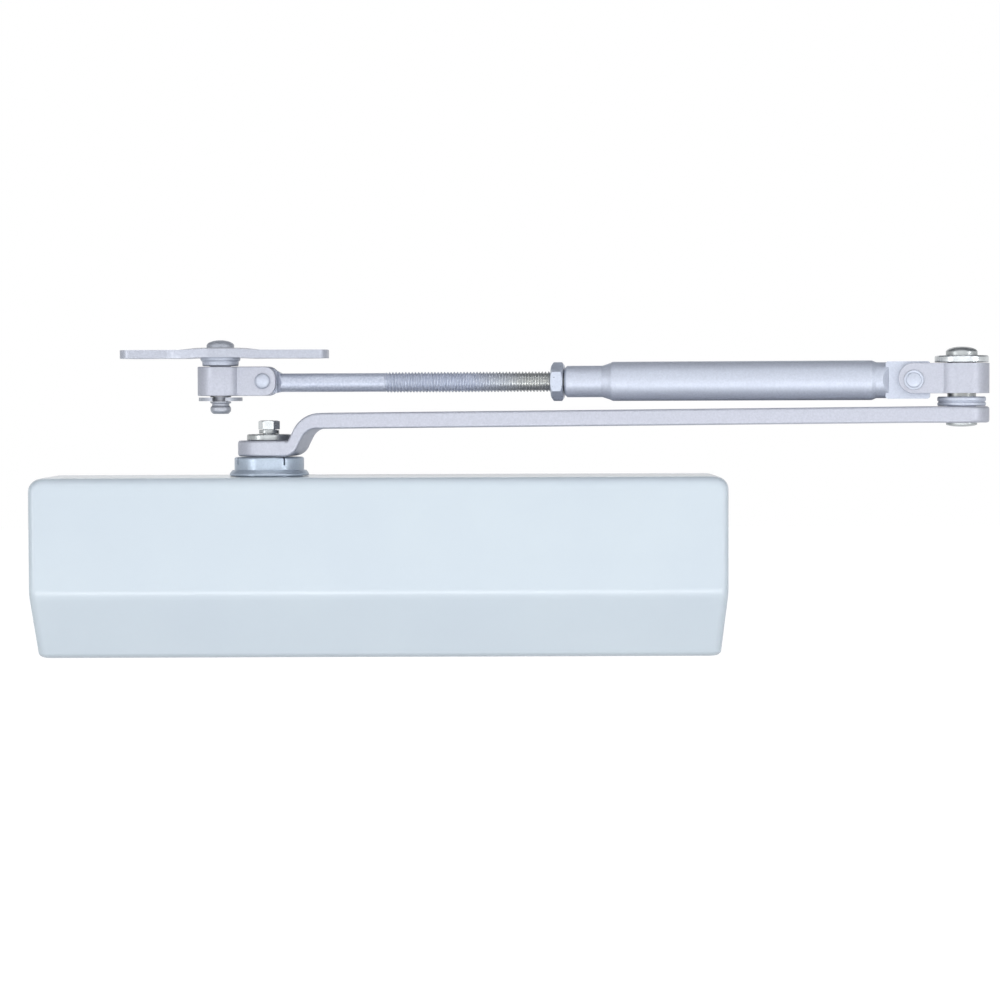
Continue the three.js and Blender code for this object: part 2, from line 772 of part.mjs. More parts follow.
function closingSpring() {
  const seat = spindle_x + piston_right + running_gap + spring_wire_radius;
  const end = barrel_length / 2 - right_plug_thickness - running_gap - spring_wire_radius;
  const wire = polygon(ngon(6, spring_wire_radius));
  const options = {
    steps: spring_turns * spring_steps,
    extrudePath: new Coil(seat, end - seat),
    bevelEnabled: false,
  };
  return solid(new THREE.ExtrudeGeometry(wire, options));
}

// ---------------------------------------------------------------- main arm and its screw

// Points of the arm's centre line, in X and Z from the hub's middle, each with its slope and
// with half the bar's thickness, which the crank draws out.
function armCentreLine() {
  const bend = rad(arm_crank_angle);
  const bends = arm_lower_bend + arm_upper_bend;
  const straight = (arm_rise - bends * (1 - Math.cos(bend))) / Math.sin(bend);
  const run = bends * Math.sin(bend) + straight * Math.cos(bend);
  const end = arm_length + arm_elbow_radius;
  const levelStart = arm_length - arm_flat_end;
  const climb = Math.atan(arm_climb / (levelStart - arm_crank_start - run));
  const half = (angle) =>
    (arm_thickness - (arm_thickness - arm_crank_thickness) * (angle / bend)) / 2;
  const points = [[-hub_radius - 1, 0, 0, half(0)]];
  const steps = 6;
  for (let i = 0; i <= steps; i += 1) {
    const angle = (bend * i) / steps;
    const x = arm_crank_start + arm_lower_bend * Math.sin(angle);
    points.push([x, arm_lower_bend * (1 - Math.cos(angle)), angle, half(angle)]);
  }
  for (let i = 0; i <= steps; i += 1) {
    const angle = bend * (1 - i / steps);
    const x = arm_crank_start + run - arm_upper_bend * Math.sin(angle);
    const z = arm_rise - arm_upper_bend * (1 - Math.cos(angle));
    points.push([x, z, i < steps ? angle : climb / 2, half(angle)]);
  }
  points.push([levelStart, arm_rise + arm_climb, climb / 2, half(0)]);
  points.push([end + 1, arm_rise + arm_climb, 0, half(0)]);
  return points;
}

function mainArm() {
  const middle = (hub_bottom + hub_top) / 2;
  const line = armCentreLine();
  const side = (sign) => line.map(([x, z, slope, half]) =>
    [x - sign * half * Math.sin(slope), middle + z + sign * half * Math.cos(slope)]);
  const profile = polygon([...side(-1), ...side(1).toReversed()]);

  const neckAngle = Math.asin(hub_neck / 2 / hub_radius);
  const plan = polygon([
    ...arc(0, 0, hub_radius, neckAngle, 2 * Math.PI - neckAngle),
    ...arc(arm_length, 0, arm_elbow_radius, -Math.PI / 2, Math.PI / 2),
  ]);
  const bar = slab(plan, hub_bottom - 1, bar_top + 1)
    .intersect(slabAlongY(profile, -hub_radius - 1, hub_radius + 1));
  const size = square_size / 2 + bore_gap;
  const squareHole = roundedRectangle(-size, -size, size, size, 1);
  const pinHole = turned(rod(elbow_pin_radius + seat_gap, hub_top, bar_top + 2), medium);
  return cut(
    bar,
    slab(squareHole, hub_bottom - 1, hub_top + 1),
    pinHole.translate([arm_length, 0, 0]),
  );
}

const flat_washer_bottom = hub_top + seat_gap;
const spring_washer_bottom = flat_washer_bottom + flat_washer_thickness + seat_gap;
const bolt_head_bottom = spring_washer_bottom + spring_washer_thickness + seat_gap;

function flatWasher() {
  const top = flat_washer_bottom + flat_washer_thickness;
  const inner = bolt_radius + bore_gap;
  return turned([
    [inner, flat_washer_bottom],
    [flat_washer_radius, flat_washer_bottom],
    [flat_washer_radius, top - 0.4],
    [flat_washer_radius - 0.4, top],
    [inner, top],
    [inner, flat_washer_bottom],
  ], medium);
}

function springWasher() {
  const top = spring_washer_bottom + spring_washer_thickness;
  const inner = bolt_radius + bore_gap;
  const body = turned(ring(inner, spring_washer_radius, spring_washer_bottom, top), medium);
  const half = spring_washer_split / 2;
  const slant = polygon([
    [0, -half - 0.5],
    [spring_washer_radius + 1, -half - 0.5],
    [spring_washer_radius + 1, half - 0.5],
    [0, half - 0.5],
  ]);
  const split = slab(slant, spring_washer_bottom - 1, top + 1).rotate([0, 0, -30]);
  return cut(body, split);
}

function armBolt() {
  const top = bolt_head_bottom + bolt_head_height;
  const corner = bolt_flats / Math.sqrt(3);
  const trimmed = turned([
    [0, bolt_head_bottom - 1],
    [corner + 1, bolt_head_bottom - 1],
    [corner + 1, top - 1.2],
    [bolt_flats / 2 - 0.3, top],
    [0, top],
  ], medium);
  const head = slab(hexagon(bolt_flats), bolt_head_bottom, top).intersect(trimmed);
  const shank = turned(rod(bolt_radius, hub_top - bolt_length + 1.5, bolt_head_bottom + 1), small);
  return joined(head.rotate([0, 0, 7]), shank);
}

// ---------------------------------------------------------------- elbow

const washer_bottom = strap_top + running_gap;
const head_bottom = washer_bottom + elbow_washer_thickness + seat_gap;

// Pin riveted under the arm, domed at both ends.
function elbowPin() {
  const arm_bottom = bar_top - arm_thickness - seat_gap;
  const foot = dome(elbow_foot_radius, elbow_foot_height, 0, 0.5).map(([r, z]) => [r, arm_bottom - z]);
  const head = dome(elbow_head_radius, elbow_head_height, head_bottom, 1.2);
  const shaft = elbow_pin_radius;
  return turned([...foot.toReversed(), [shaft, arm_bottom], [shaft, head_bottom], ...head], medium);
}

// Spacer with two rounded lips.
function elbowBush() {
  const bottom = bar_top + seat_gap;
  const middle = bottom + elbow_bush_height * 0.45;
  const top = bottom + elbow_bush_height;
  const inner = elbow_pin_radius + seat_gap;
  const [outer, waist] = [elbow_bush_radius, elbow_bush_radius - 0.7];
  return turned([
    [inner, bottom],
    [waist, bottom],
    [outer, bottom + 0.6],
    [outer, middle - 0.5],
    [waist + 0.3, middle],
    [outer, middle + 0.5],
    [outer, top - 0.6],
    [waist, top],
    [inner, top],
    [inner, bottom],
  ], medium);
}

function elbowWasher() {
  const top = washer_bottom + elbow_washer_thickness;
  const inner = elbow_pin_radius + seat_gap;
  return turned([
    [inner, washer_bottom],
    [elbow_washer_radius, washer_bottom],
    [elbow_washer_radius, top - 0.5],
    [elbow_washer_radius - 0.5, top],
    [inner, top],
    [inner, washer_bottom],
  ], large);
}

// Flat strip bent round a pin into a keyhole, its two plates pointing along +X.
function strap(form) {
  const { radius, thickness, spread, fillet, rivetPlace, rivetRadius, rivetDrop, tail } = form;
  const outer = spread / 2;
  const inner = outer - thickness;
  const hollow = radius - thickness;
  const end = rivetPlace + tail;
  const filletX = Math.sqrt((radius + fillet) ** 2 - (outer + fillet) ** 2);
  const touch = Math.atan2(outer + fillet, filletX);
  const mouth = Math.asin(inner / hollow);
  const filletY = outer + fillet;
  const plan = polygon([
    [end, outer],
    ...arc(filletX, filletY, fillet, -Math.PI / 2, touch - Math.PI),
    ...arc(0, 0, radius, touch, 2 * Math.PI - touch).slice(1, -1),
    ...arc(filletX, -filletY, fillet, Math.PI - touch, Math.PI / 2),
    [end, -outer],
    [end, -inner],
    ...arc(0, 0, hollow, 2 * Math.PI - mouth, mouth),
    [end, inner],
  ]);

  const half = strap_height / 2;
  const corner = Math.min(form.corner, half);
  const side = polygon([
    [-radius - 1, half],
    [-radius - 1, -half],
    ...arc(end - corner, corner - half, corner, -Math.PI / 2, 0),
    ...arc(end - corner, half - corner, corner, 0, Math.PI / 2),
  ]);
  const bent = slab(plan, -half - 1, half + 1)
    .intersect(slabAlongY(side, -radius - 1, radius + 1));
  const hole = turnedAlongY(rod(rivetRadius + seat_gap, -spread, spread), small);
  return cut(bent, hole.translate([rivetPlace, 0, -rivetDrop]));
}

// Bearing sleeve inside a strap's eye.
function sleeve(pinRadius, strapRadius, strapThickness) {
  const half = strap_height / 2;
  const outer = strapRadius - strapThickness - seat_gap;
  return turned(ring(pinRadius + bore_gap, outer, -half, half), medium);
}

// Rivet through both plates of a strap, from one outer head to the other.
function rivet(radius, spread, head) {
  const face = spread / 2 + seat_gap;
  const upper = head.map(([r, y]) => [r, face + y]);
  const lower = head.map(([r, y]) => [r, -face - y]).toReversed();
  return turnedAlongY([...lower, [radius, -face], [radius, face], ...upper], small);
}

const elbow_rivet_head = [
  [elbow_rivet_flange_radius, 0],
  [elbow_rivet_flange_radius, elbow_rivet_flange_height - 0.2],
  [elbow_rivet_flange_radius - 0.2, elbow_rivet_flange_height],
  ...dome(elbow_rivet_dome_radius, elbow_rivet_dome_height, elbow_rivet_flange_height, 0.1, 2),
];
const shoe_rivet_head = dome(shoe_rivet_head_radius, shoe_rivet_head_height, 0, 0.3, 3);

// ---------------------------------------------------------------- forearm, rod and nut

// Swaged tube: a threaded neck on the left, a flattened tongue on the right.
function forearmTube() {
  const neckEnd = tube_start + tube_neck_length;
  const endNeck = tube_end_neck_start + tube_end_shoulder;
  const bore = rod_radius + thread_gap;
  const tube = turnedAlongX([
    [bore, tube_start],
    [tube_neck_radius - 0.7, tube_start],
    [tube_neck_radius, tube_start + 0.7],
    [tube_neck_radius, neckEnd],
    [tube_radius - 0.5, neckEnd + tube_shoulder - 1],
    [tube_radius, neckEnd + tube_shoulder],
    [tube_radius, tube_end_neck_start],
    [tube_end_neck_radius, endNeck],
    [tube_end_neck_radius, tongue_start],
    [0, tongue_start],
    [0, tube_end_neck_start - 2],
    [tube_bore, tube_end_neck_start - 4],
    [tube_bore, neckEnd + tube_shoulder],
    [bore, neckEnd],
    [bore, tube_start],
  ], medium);
  const half = tongue_thickness / 2;
  const flanks = polygon([
    [0, -tube_radius - 1],
    [tongue_start - tongue_slope, -tube_radius - 1],
    [tongue_start - tongue_slope, -tube_end_neck_radius],
    [tongue_start, -half],
    [tongue_start, half],
    [tongue_start - tongue_slope, tube_end_neck_radius],
    [tongue_start - tongue_slope, tube_radius + 1],
    [0, tube_radius + 1],
  ]);
  const rise = tongue_height / 2;
  const start = tongue_start - tongue_slope + 1;
  const side = roundedRectangle(start, -rise, tongue_end, rise, tongue_corner);
  const tongue = slabAlongY(side, -half, half);
  const hole = turnedAlongY(rod(elbow_rivet_radius + bore_gap, -half - 1, half + 1), small);
  const whole = joined(tube.intersect(slab(flanks, -tube_radius - 1, tube_radius + 1)), tongue);
  return cut(whole, hole.translate([forearm_length - elbow_rivet_place, 0, 0]));
}

function adjustingRod() {
  const bar = turnedAlongX([
    [0, rod_flat_end - 6],
    [rod_shank_radius, rod_flat_end - 6],
    [rod_shank_radius, rod_thread_start],
    [rod_radius, rod_thread_start + 0.5],
    [rod_radius, rod_end - 1],
    [rod_radius - 1, rod_end],
    [0, rod_end],
  ], medium);
  const [half, rise] = [rod_flat_thickness / 2, rod_flat_height / 2];
  const flat = polygon([
    ...arc(shoe_rivet_place, forearm_drop, rise, Math.PI / 2, 1.5 * Math.PI),
    [rod_flat_end - 3, forearm_drop - rise],
    [rod_flat_end, -rod_shank_radius + 0.1],
    [rod_flat_end, rod_shank_radius - 0.1],
    [rod_flat_end - 3, forearm_drop + rise],
  ]);
  const faces = polygon([
    [0, -half],
    [rod_flat_end - 1.4, -half],
    [rod_flat_end + 1.6, -rod_radius - 0.1],
    [rod_end + 1, -rod_radius - 0.1],
    [rod_end + 1, rod_radius + 0.1],
    [rod_flat_end + 1.6, rod_radius + 0.1],
    [rod_flat_end - 1.4, half],
    [0, half],
  ]);
  const whole = joined(bar, slabAlongY(flat, -rod_shank_radius, rod_shank_radius));
  const shaped = whole.intersect(slab(faces, -rod_flat_height, rod_flat_height));
  const hole = turnedAlongY(rod(shoe_rivet_radius + bore_gap, -rod_radius - 1, rod_radius + 1), small);
  return cut(shaped, hole.translate([shoe_rivet_place, 0, forearm_drop]));
}

function lockNut() {
  const corner = nut_flats / Math.sqrt(3);
  const half = nut_thickness / 2;
  const trimmed = turned([
    [0, -half],
    [nut_flats / 2 - 0.2, -half],
    [corner + 0.2, -half + 1],
    [corner + 0.2, half - 1],
    [nut_flats / 2 - 0.2, half],
    [0, half],
  ], medium);
  const hex = slab(hexagon(nut_flats), -half - 1, half + 1).intersect(trimmed);
  const bore = turned(rod(rod_radius + thread_gap / 2, -half - 1, half + 1), medium);
  return cut(hex, bore).rotate([0, 90, 0]);
}

// ---------------------------------------------------------------- shoe

const shoe_bush_bottom = strap_top + running_gap;
const shoe_bush_top = shoe_bush_bottom + shoe_bush_height;
const shoe_centre_bottom = shoe_bush_top + seat_gap;
const shoe_plate_bottom = shoe_centre_bottom - shoe_raised_height;
const shoe_plate_top = shoe_plate_bottom + shoe_plate_thickness;
const ring_top = strap_bottom - ring_float;

// One ear and half of the middle, mirrored to all four quarters. The flanks run from the
// middle's circle into a fillet at the root of each ear.
function shoeOutline() {
  const [width, corner] = [shoe_ear_width / 2, shoe_ear_corner];
  const fillet = [shoe_ear_root, width + shoe_ear_fillet];
  const reach = Math.hypot(...fillet);
  const lift = Math.atan2(fillet[1], fillet[0]);
  const flank = lift + Math.acos((shoe_centre_radius + shoe_ear_fillet) / reach);
  const reachOf = (side) => shoe_plate_length / 2 + side * shoe_plate_offset;
  const quarter = (side) => [
    ...arc(reachOf(side) - corner, width - corner, corner, 0, Math.PI / 2),
    ...arc(...fillet, shoe_ear_fillet, -Math.PI / 2, flank - Math.PI),
    ...arc(0, 0, shoe_centre_radius, flank, Math.PI / 2),
  ];
  const right = quarter(1);
  const left = quarter(-1).map(([x, y]) => [-x, y]).toReversed();
  const upper = [...right, ...left.slice(1)];
  const lower = upper.map(([x, y]) => [x, -y]).toReversed();
  return [...upper, ...lower];
}

// Pressed plate with a round middle, two ears and a raised seat for the pin's head.
function shoePlate() {
  const outline = polygon(shoeOutline());
  const bottom = shoe_plate_bottom;
  const top = shoe_plate_top;
  const cone = (base) => turned([
    [0, base - 1],
    [shoe_raised_foot, base - 1],
    [shoe_raised_foot, base],
    [shoe_raised_radius, base + shoe_raised_height],
    [0, base + shoe_raised_height],
  ], large);
  const raised = cone(top).intersect(slab(outline, bottom, top + 2));
  const hollow = cone(bottom);
  const pinHole = turned(rod(shoe_pin_radius + seat_gap, bottom - 1, top + 2), medium);
  const screwHole = turned([
    [0, bottom - 1],
    [shoe_hole_radius * 2, bottom - 1],
    [shoe_hole_radius * 2, bottom],
    [shoe_hole_radius, bottom + shoe_hole_radius * 0.8],
    [shoe_hole_radius, top + 1],
    [0, top + 1],
  ], 24);
  const spread = shoe_hole_spacing / 2;
  return cut(
    joined(slab(outline, bottom, top), raised),
    hollow,
    pinHole,
    screwHole.translate([shoe_plate_offset - spread, 0, 0]),
    screwHole.translate([shoe_plate_offset + spread, 0, 0]),
  );
}

function shoeBush() {
  const inner = shoe_pin_radius + seat_gap;
  const step = shoe_bush_bottom + shoe_bush_neck_height;
  return turned([
    [inner, shoe_bush_bottom],
    [shoe_bush_neck - 0.4, shoe_bush_bottom],
    [shoe_bush_neck, shoe_bush_bottom + 0.5],
    [shoe_bush_neck, step],
    [shoe_bush_radius, step + 0.5],
    [shoe_bush_radius, shoe_bush_top - 0.5],
    [shoe_bush_radius - 0.5, shoe_bush_top],
    [inner, shoe_bush_top],
    [inner, shoe_bush_bottom],
  ], medium);
}

// Pin riveted into the plate, with a groove for the retaining ring and a rounded end.
function shoePin() {
  const headBottom = shoe_plate_top + shoe_raised_height + seat_gap;
  const ringBottom = ring_top - ring_thickness - seat_gap;
  const [shaft, groove, neck] = [shoe_pin_radius, ring_groove_radius, shoe_pin_neck_radius];
  const collarBottom = ringBottom - shoe_pin_collar;
  const endTop = collarBottom - shoe_pin_neck_length;
  const end = shoe_pin_end_height / 2;
  return turned([
    [0, endTop - 2 * end],
    [shoe_pin_end_radius * 0.6, endTop - 2 * end],
    [shoe_pin_end_radius * 0.92, endTop - 1.5 * end],
    [shoe_pin_end_radius, endTop - end],
    [shoe_pin_end_radius * 0.92, endTop - 0.4 * end],
    [neck, endTop],
    [neck, collarBottom],
    [shaft, collarBottom + 0.6],
    [shaft, ringBottom],
    [groove, ringBottom],
    [groove, ring_top + seat_gap],
    [shaft, ring_top + seat_gap],
    [shaft, headBottom],
    ...dome(shoe_head_radius, shoe_head_height, headBottom, 0.8),
  ], medium);
}

// E-shaped retaining ring, open to the front.
function retainingRing() {
  const bottom = ring_top - ring_thickness;
  const disc = turned(ring(ring_groove_radius + seat_gap, ring_radius, bottom, ring_top), medium);
  const half = ring_opening / 2;
  const mouth = block([-half, -ring_radius - 1, bottom - 1], [half, 0, ring_top + 1]);
  const relief = turned(rod(ring_radius - 3.6, bottom - 1, ring_top + 1), medium);
  const sides = [-1, 1].map((side) => {
    const angle = rad(90 - side * 55);
    const [x, y] = [Math.cos(angle), Math.sin(angle)];
    return block([-1.5, -1.5, bottom - 1], [1.5, 1.5, ring_top + 1])
      .rotate([0, 0, 45])
      .translate([(ring_groove_radius + 1.8) * x, (ring_groove_radius + 1.8) * y, 0]);
  });
  const front = relief.intersect(block([-9, -9, bottom - 2], [9, -1.6, ring_top + 2]));
  return cut(disc, mouth, front, ...sides);
}

// ---------------------------------------------------------------- materials

function material(color, roughness, metalness) {
  return new THREE.MeshStandardMaterial({ color, roughness, metalness });
}

const silver_plastic = () => material(0xd9e2ea, 0.42, 0.25);
const silver_paint = () => material(0xb6c1ca, 0.45, 0.4);
const cast_aluminium = () => material(0xaeb2b5, 0.55, 0.8);
const zinc = () => material(0xc9cac6, 0.3, 0.9);
const steel = () => material(0x9a9da0, 0.35, 0.9);
const bronze = () => material(0xa87f4a, 0.45, 0.85);
const spring_steel = () => material(0x4c5055, 0.4, 0.8);
const rubber = () => material(0x1c1c1d, 0.8, 0);

// ---------------------------------------------------------------- assembly

function node(name, body, finish) {
  const mesh = new THREE.Mesh(geometryOf(body), finish);
  mesh.name = name;
  return mesh;
}

function at(x, y, z, ...meshes) {
  const group = new THREE.Group();
  group.position.set(x, y, z);
  group.add(...meshes);
  return group;
}

function bodyGroup() {
  const half = barrel_length / 2;
  const leftPlug = endPlug(left_plug_thickness).mirror([1, 0, 0]);
  const leftSeal = plugSeal(left_plug_thickness).mirror([1, 0, 0]);
  const group = new THREE.Group();
  group.add(
    node("body_casting", bodyCasting(), cast_aluminium()),
    node("cover", coverShell(), silver_plastic()),
    at(-half + left_plug_thickness, cylinder_y, 0,
      node("left_end_plug", leftPlug, steel()),
      node("left_plug_seal", leftSeal, rubber())),
    at(half - right_plug_thickness, cylinder_y, 0,
      node("right_end_plug", endPlug(right_plug_thickness), steel()),
      node("right_plug_seal", plugSeal(right_plug_thickness), rubber())),
    at(0, -valve_depth, valve_height, node("sweep_valve", valveScrew(), steel())),
    at(0, -valve_depth, -valve_height, node("latch_valve", valveScrew(), steel())),
    at(0, cylinder_y, 0, node("closing_spring", closingSpring(), spring_steel())),
  );
  return group;
}

function spindleGroup() {
  return at(spindle_x, cylinder_y, 0,
    node("upper_bearing_cap", upperBearingCap(), silver_paint()),
    node("lower_bearing_cap", lowerBearingCap(), steel()),
    node("upper_spindle_bearing", spindleBearing(cap_seat), bronze()),
    node("lower_spindle_bearing", spindleBearing(-cap_seat), bronze()),
    node("spindle", spindle(), steel()),
    node("piston", piston(), steel()),
    node("piston_check_valve", checkValve(), bronze()),
  );
}

function elbowGroup() {
  const eye = elbow_strap_radius;
  const bent = strap({
    radius: eye,
    thickness: elbow_strap_thickness,
    spread: elbow_strap_spread,
    fillet: elbow_strap_fillet,
    rivetPlace: elbow_rivet_place,
    rivetRadius: elbow_rivet_radius,
    rivetDrop: forearm_drop,
    tail: elbow_strap_tail,
    corner: strap_height / 2,
  });
  const lining = sleeve(elbow_pin_radius, eye, elbow_strap_thickness);
  const pin = rivet(elbow_rivet_radius, elbow_strap_spread, elbow_rivet_head);
  return at(arm_length, 0, 0,
    node("elbow_pin", elbowPin(), zinc()),
    node("elbow_bush", elbowBush(), silver_paint()),
    node("elbow_washer", elbowWasher(), zinc()),
    at(0, 0, strap_z,
      node("elbow_strap", bent.rotate([0, 0, 180]), silver_paint()),
      node("elbow_sleeve", lining, bronze())),
    at(-elbow_rivet_place, 0, forearm_z, node("elbow_rivet", pin, silver_paint())),
  );
}

function shoeKnuckleGroup() {
  const eye = shoe_strap_radius;
  const bent = strap({
    radius: eye,
    thickness: shoe_strap_thickness,
    spread: shoe_strap_spread,
    fillet: shoe_strap_fillet,
    rivetPlace: shoe_rivet_place,
    rivetRadius: shoe_rivet_radius,
    rivetDrop: 0,
    tail: shoe_strap_tail,
    corner: shoe_strap_corner,
  });
  const lining = sleeve(shoe_pin_radius, eye, shoe_strap_thickness);
  const pin = rivet(shoe_rivet_radius, shoe_strap_spread, shoe_rivet_head);
  return at(0, 0, strap_z,
    node("shoe_strap", bent, silver_paint()),
    node("shoe_sleeve", lining, bronze()),
    at(shoe_rivet_place, 0, 0, node("shoe_rivet", pin, silver_paint())),
  );
}

function forearmGroup() {
  const nutPlace = tube_start - nut_gap - nut_thickness / 2;
  return at(0, 0, forearm_z,
    node("forearm_tube", forearmTube(), silver_paint()),
    node("adjusting_rod", adjustingRod(), silver_paint()),
    at(nutPlace, 0, 0, node("lock_nut", lockNut(), zinc())),
  );
}

// The shoe lies square to the body, so it turns back by the arms' yaw.
function shoeGroup() {
  const group = at(0, 0, 0,
    node("shoe_plate", shoePlate(), silver_paint()),
    node("shoe_bush", shoeBush(), silver_paint()),
    node("shoe_pin", shoePin(), zinc()),
    node("retaining_ring", retainingRing(), silver_paint()),
  );
  group.rotation.z = rad(arm_yaw);
  return group;
}

function armsGroup() {
  const arms = at(spindle_x, cylinder_y, 0,
    node("main_arm", mainArm(), silver_paint()),
    node("arm_washer", flatWasher(), zinc()),
    node("arm_spring_washer", springWasher(), zinc()),
    node("arm_bolt", armBolt(), zinc()),
    elbowGroup(),
    at(arm_length - forearm_length, 0, 0, shoeKnuckleGroup(), forearmGroup(), shoeGroup()),
  );
  arms.rotation.z = -rad(arm_yaw);
  return arms;
}

const closer = new THREE.Group();
closer.add(bodyGroup(), spindleGroup(), armsGroup());

export default closer;
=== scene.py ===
import json
from math import acos, asin, atan, atan2, ceil, cos, degrees, hypot, pi, radians, sin, sqrt, tan

import bmesh
import bpy
from mathutils import Matrix, Vector

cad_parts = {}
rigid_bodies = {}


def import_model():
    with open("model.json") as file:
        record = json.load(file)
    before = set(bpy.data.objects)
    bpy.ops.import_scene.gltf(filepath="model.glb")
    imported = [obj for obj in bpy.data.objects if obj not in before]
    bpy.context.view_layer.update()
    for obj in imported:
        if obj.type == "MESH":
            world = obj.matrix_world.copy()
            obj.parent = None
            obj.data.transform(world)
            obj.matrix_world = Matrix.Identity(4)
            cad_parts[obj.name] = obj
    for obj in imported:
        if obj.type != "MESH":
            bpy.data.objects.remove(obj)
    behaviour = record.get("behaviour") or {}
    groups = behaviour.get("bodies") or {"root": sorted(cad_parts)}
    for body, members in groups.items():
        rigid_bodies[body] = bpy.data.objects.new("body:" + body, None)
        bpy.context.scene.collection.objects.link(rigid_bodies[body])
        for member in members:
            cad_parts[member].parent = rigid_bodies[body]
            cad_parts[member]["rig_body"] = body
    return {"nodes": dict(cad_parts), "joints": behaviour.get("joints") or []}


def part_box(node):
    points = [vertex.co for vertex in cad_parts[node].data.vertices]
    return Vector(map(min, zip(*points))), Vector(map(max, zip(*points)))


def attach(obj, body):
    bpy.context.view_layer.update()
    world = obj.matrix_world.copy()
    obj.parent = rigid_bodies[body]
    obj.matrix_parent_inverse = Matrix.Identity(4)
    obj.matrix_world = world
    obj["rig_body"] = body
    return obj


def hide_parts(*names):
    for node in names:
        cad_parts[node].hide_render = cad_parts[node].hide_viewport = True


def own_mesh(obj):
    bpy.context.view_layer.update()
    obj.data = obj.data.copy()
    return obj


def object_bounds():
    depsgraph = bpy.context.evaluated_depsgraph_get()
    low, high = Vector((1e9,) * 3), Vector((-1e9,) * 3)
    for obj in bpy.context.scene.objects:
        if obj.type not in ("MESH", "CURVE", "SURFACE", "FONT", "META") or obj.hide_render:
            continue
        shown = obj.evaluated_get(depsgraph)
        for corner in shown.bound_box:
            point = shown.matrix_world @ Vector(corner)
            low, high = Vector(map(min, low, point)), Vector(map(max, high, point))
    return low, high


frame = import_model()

# Lengths below are in millimetres and become metres when a mesh is made.
MM = 0.001
NODES = frame["nodes"]
CAD_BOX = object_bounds()
ON_AXIS = 1e-6  # a smaller radius is a point on the axis
SAME_PLACE = 1e-8  # metres; closer points become one
FILLET_SHARE = 0.499  # the most of a side that one fillet takes
GAP = 0.12  # left between pieces that lie on each other
PAST = 1.0  # how far a cutting tool reaches past a face


# ---------- places, from the frame

def joint(name):
    return next(j for j in frame["joints"] if j["name"] == name)


def joint_point(name):
    return Vector(joint(name)["pos_m"]) / MM


def low(node):
    """The lower corner of a node's box."""
    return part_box(node)[0] / MM


def high(node):
    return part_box(node)[1] / MM


def extent(node):
    return low(node), high(node)


SPINDLE = joint_point("arm_swing").xy
ELBOW = joint_point("elbow_turn").xy
SHOE = joint_point("shoe_turn").xy
STRAP_Z = joint_point("elbow_turn").z
FOREARM_Z = joint_point("elbow_pitch").z
ARM_LENGTH = (ELBOW - SPINDLE).length
FOREARM_LENGTH = (ELBOW - SHOE).length
ARM_TURN = Matrix.Rotation(atan2(*(ELBOW - SPINDLE).yx), 4, "Z")


def moved(x, y, z):
    return Matrix.Translation((x, y, z))


def turned(angle):
    """Matrix of a turn about Z, in degrees."""
    return Matrix.Rotation(radians(angle), 4, "Z")


def at(point, z=0.0, turn=None):
    """Matrix of a local frame, in millimetres."""
    matrix = moved(*point, z)
    return matrix @ turn if turn else matrix


ON_SPINDLE = at(SPINDLE)
ON_ARM = at(SPINDLE, 0, ARM_TURN)
ON_ELBOW = at(ELBOW, 0, ARM_TURN)
ON_FOREARM = at(SHOE, FOREARM_Z, ARM_TURN)
ON_SHOE_STRAP = at(SHOE, STRAP_Z, ARM_TURN)
ON_ELBOW_STRAP = at(ELBOW, STRAP_Z, ARM_TURN @ turned(180))
ON_SHOE = at(SHOE)


# ---------- outlines

def arc(x, y, radius, start, end, step=6.0):
    """Points along an arc; angles in degrees."""
    count = max(1, ceil(abs(end - start) / step - 1e-6))
    angles = [radians(start + (end - start) * i / count) for i in range(count + 1)]
    return [(x + radius * cos(a), y + radius * sin(a)) for a in angles]


def filleted(points, closed=False, step=10.0):
    """The same outline with its corners rounded. A point is (x, y) or (x, y, radius)."""
    made = []
    count = len(points)
    for i, point in enumerate(points):
        here = Vector(point[:2])
        radius = point[2] if len(point) > 2 else 0
        if not radius or (not closed and i in (0, count - 1)):
            made.append(tuple(here))
            continue
        back = Vector(points[i - 1][:2]) - here
        on = Vector(points[(i + 1) % count][:2]) - here
        turn = back.angle(on)
        reach = radius / tan(turn / 2)
        room = min(back.length, on.length) * FILLET_SHARE
        if reach > room:
            radius *= room / reach
            reach = room
        first = here + back.normalized() * reach
        last = here + on.normalized() * reach
        middle = here + (back.normalized() + on.normalized()).normalized() * hypot(reach, radius)
        a, b = first - middle, last - middle
        sweep = degrees(a.angle_signed(b))
        steps = max(2, ceil(abs(sweep) / step))
        start = atan2(a.y, a.x)
        for k in range(steps + 1):
            angle = start - radians(sweep) * k / steps
            made.append((middle.x + radius * cos(angle), middle.y + radius * sin(angle)))
    return made


def rectangle(x0, y0, x1, y1, radius=0.0):
    return filleted([(x0, y0, radius), (x1, y0, radius), (x1, y1, radius), (x0, y1, radius)], True)


def ngon(count, radius, turn=0.0):
    angles = [radians(turn) + 2 * pi * i / count for i in range(count)]
    return [(radius * cos(a), radius * sin(a)) for a in angles]


def dome(radius, height, base, rim, steps=10):
    """A low dome on a short rim, from its edge to the axis."""
    points = [(radius, base)]
    for i in range(steps + 1):
        angle = pi / 2 * i / steps
        points.append((radius * cos(angle), base + rim + (height - rim) * sin(angle)))
    points[-1] = (0.0, base + height)
    return points


# ---------- meshes

TURNS = {
    "Z": Matrix.Identity(4),
    "X": Matrix(((0, 0, 1, 0), (1, 0, 0, 0), (0, 1, 0, 0), (0, 0, 0, 1))),
    "Y": Matrix(((1, 0, 0, 0), (0, 0, -1, 0), (0, 1, 0, 0), (0, 0, 0, 1))),
}


def placed(name, data):
    made = bpy.data.objects.new(name, data)
    bpy.context.scene.collection.objects.link(made)
    return made


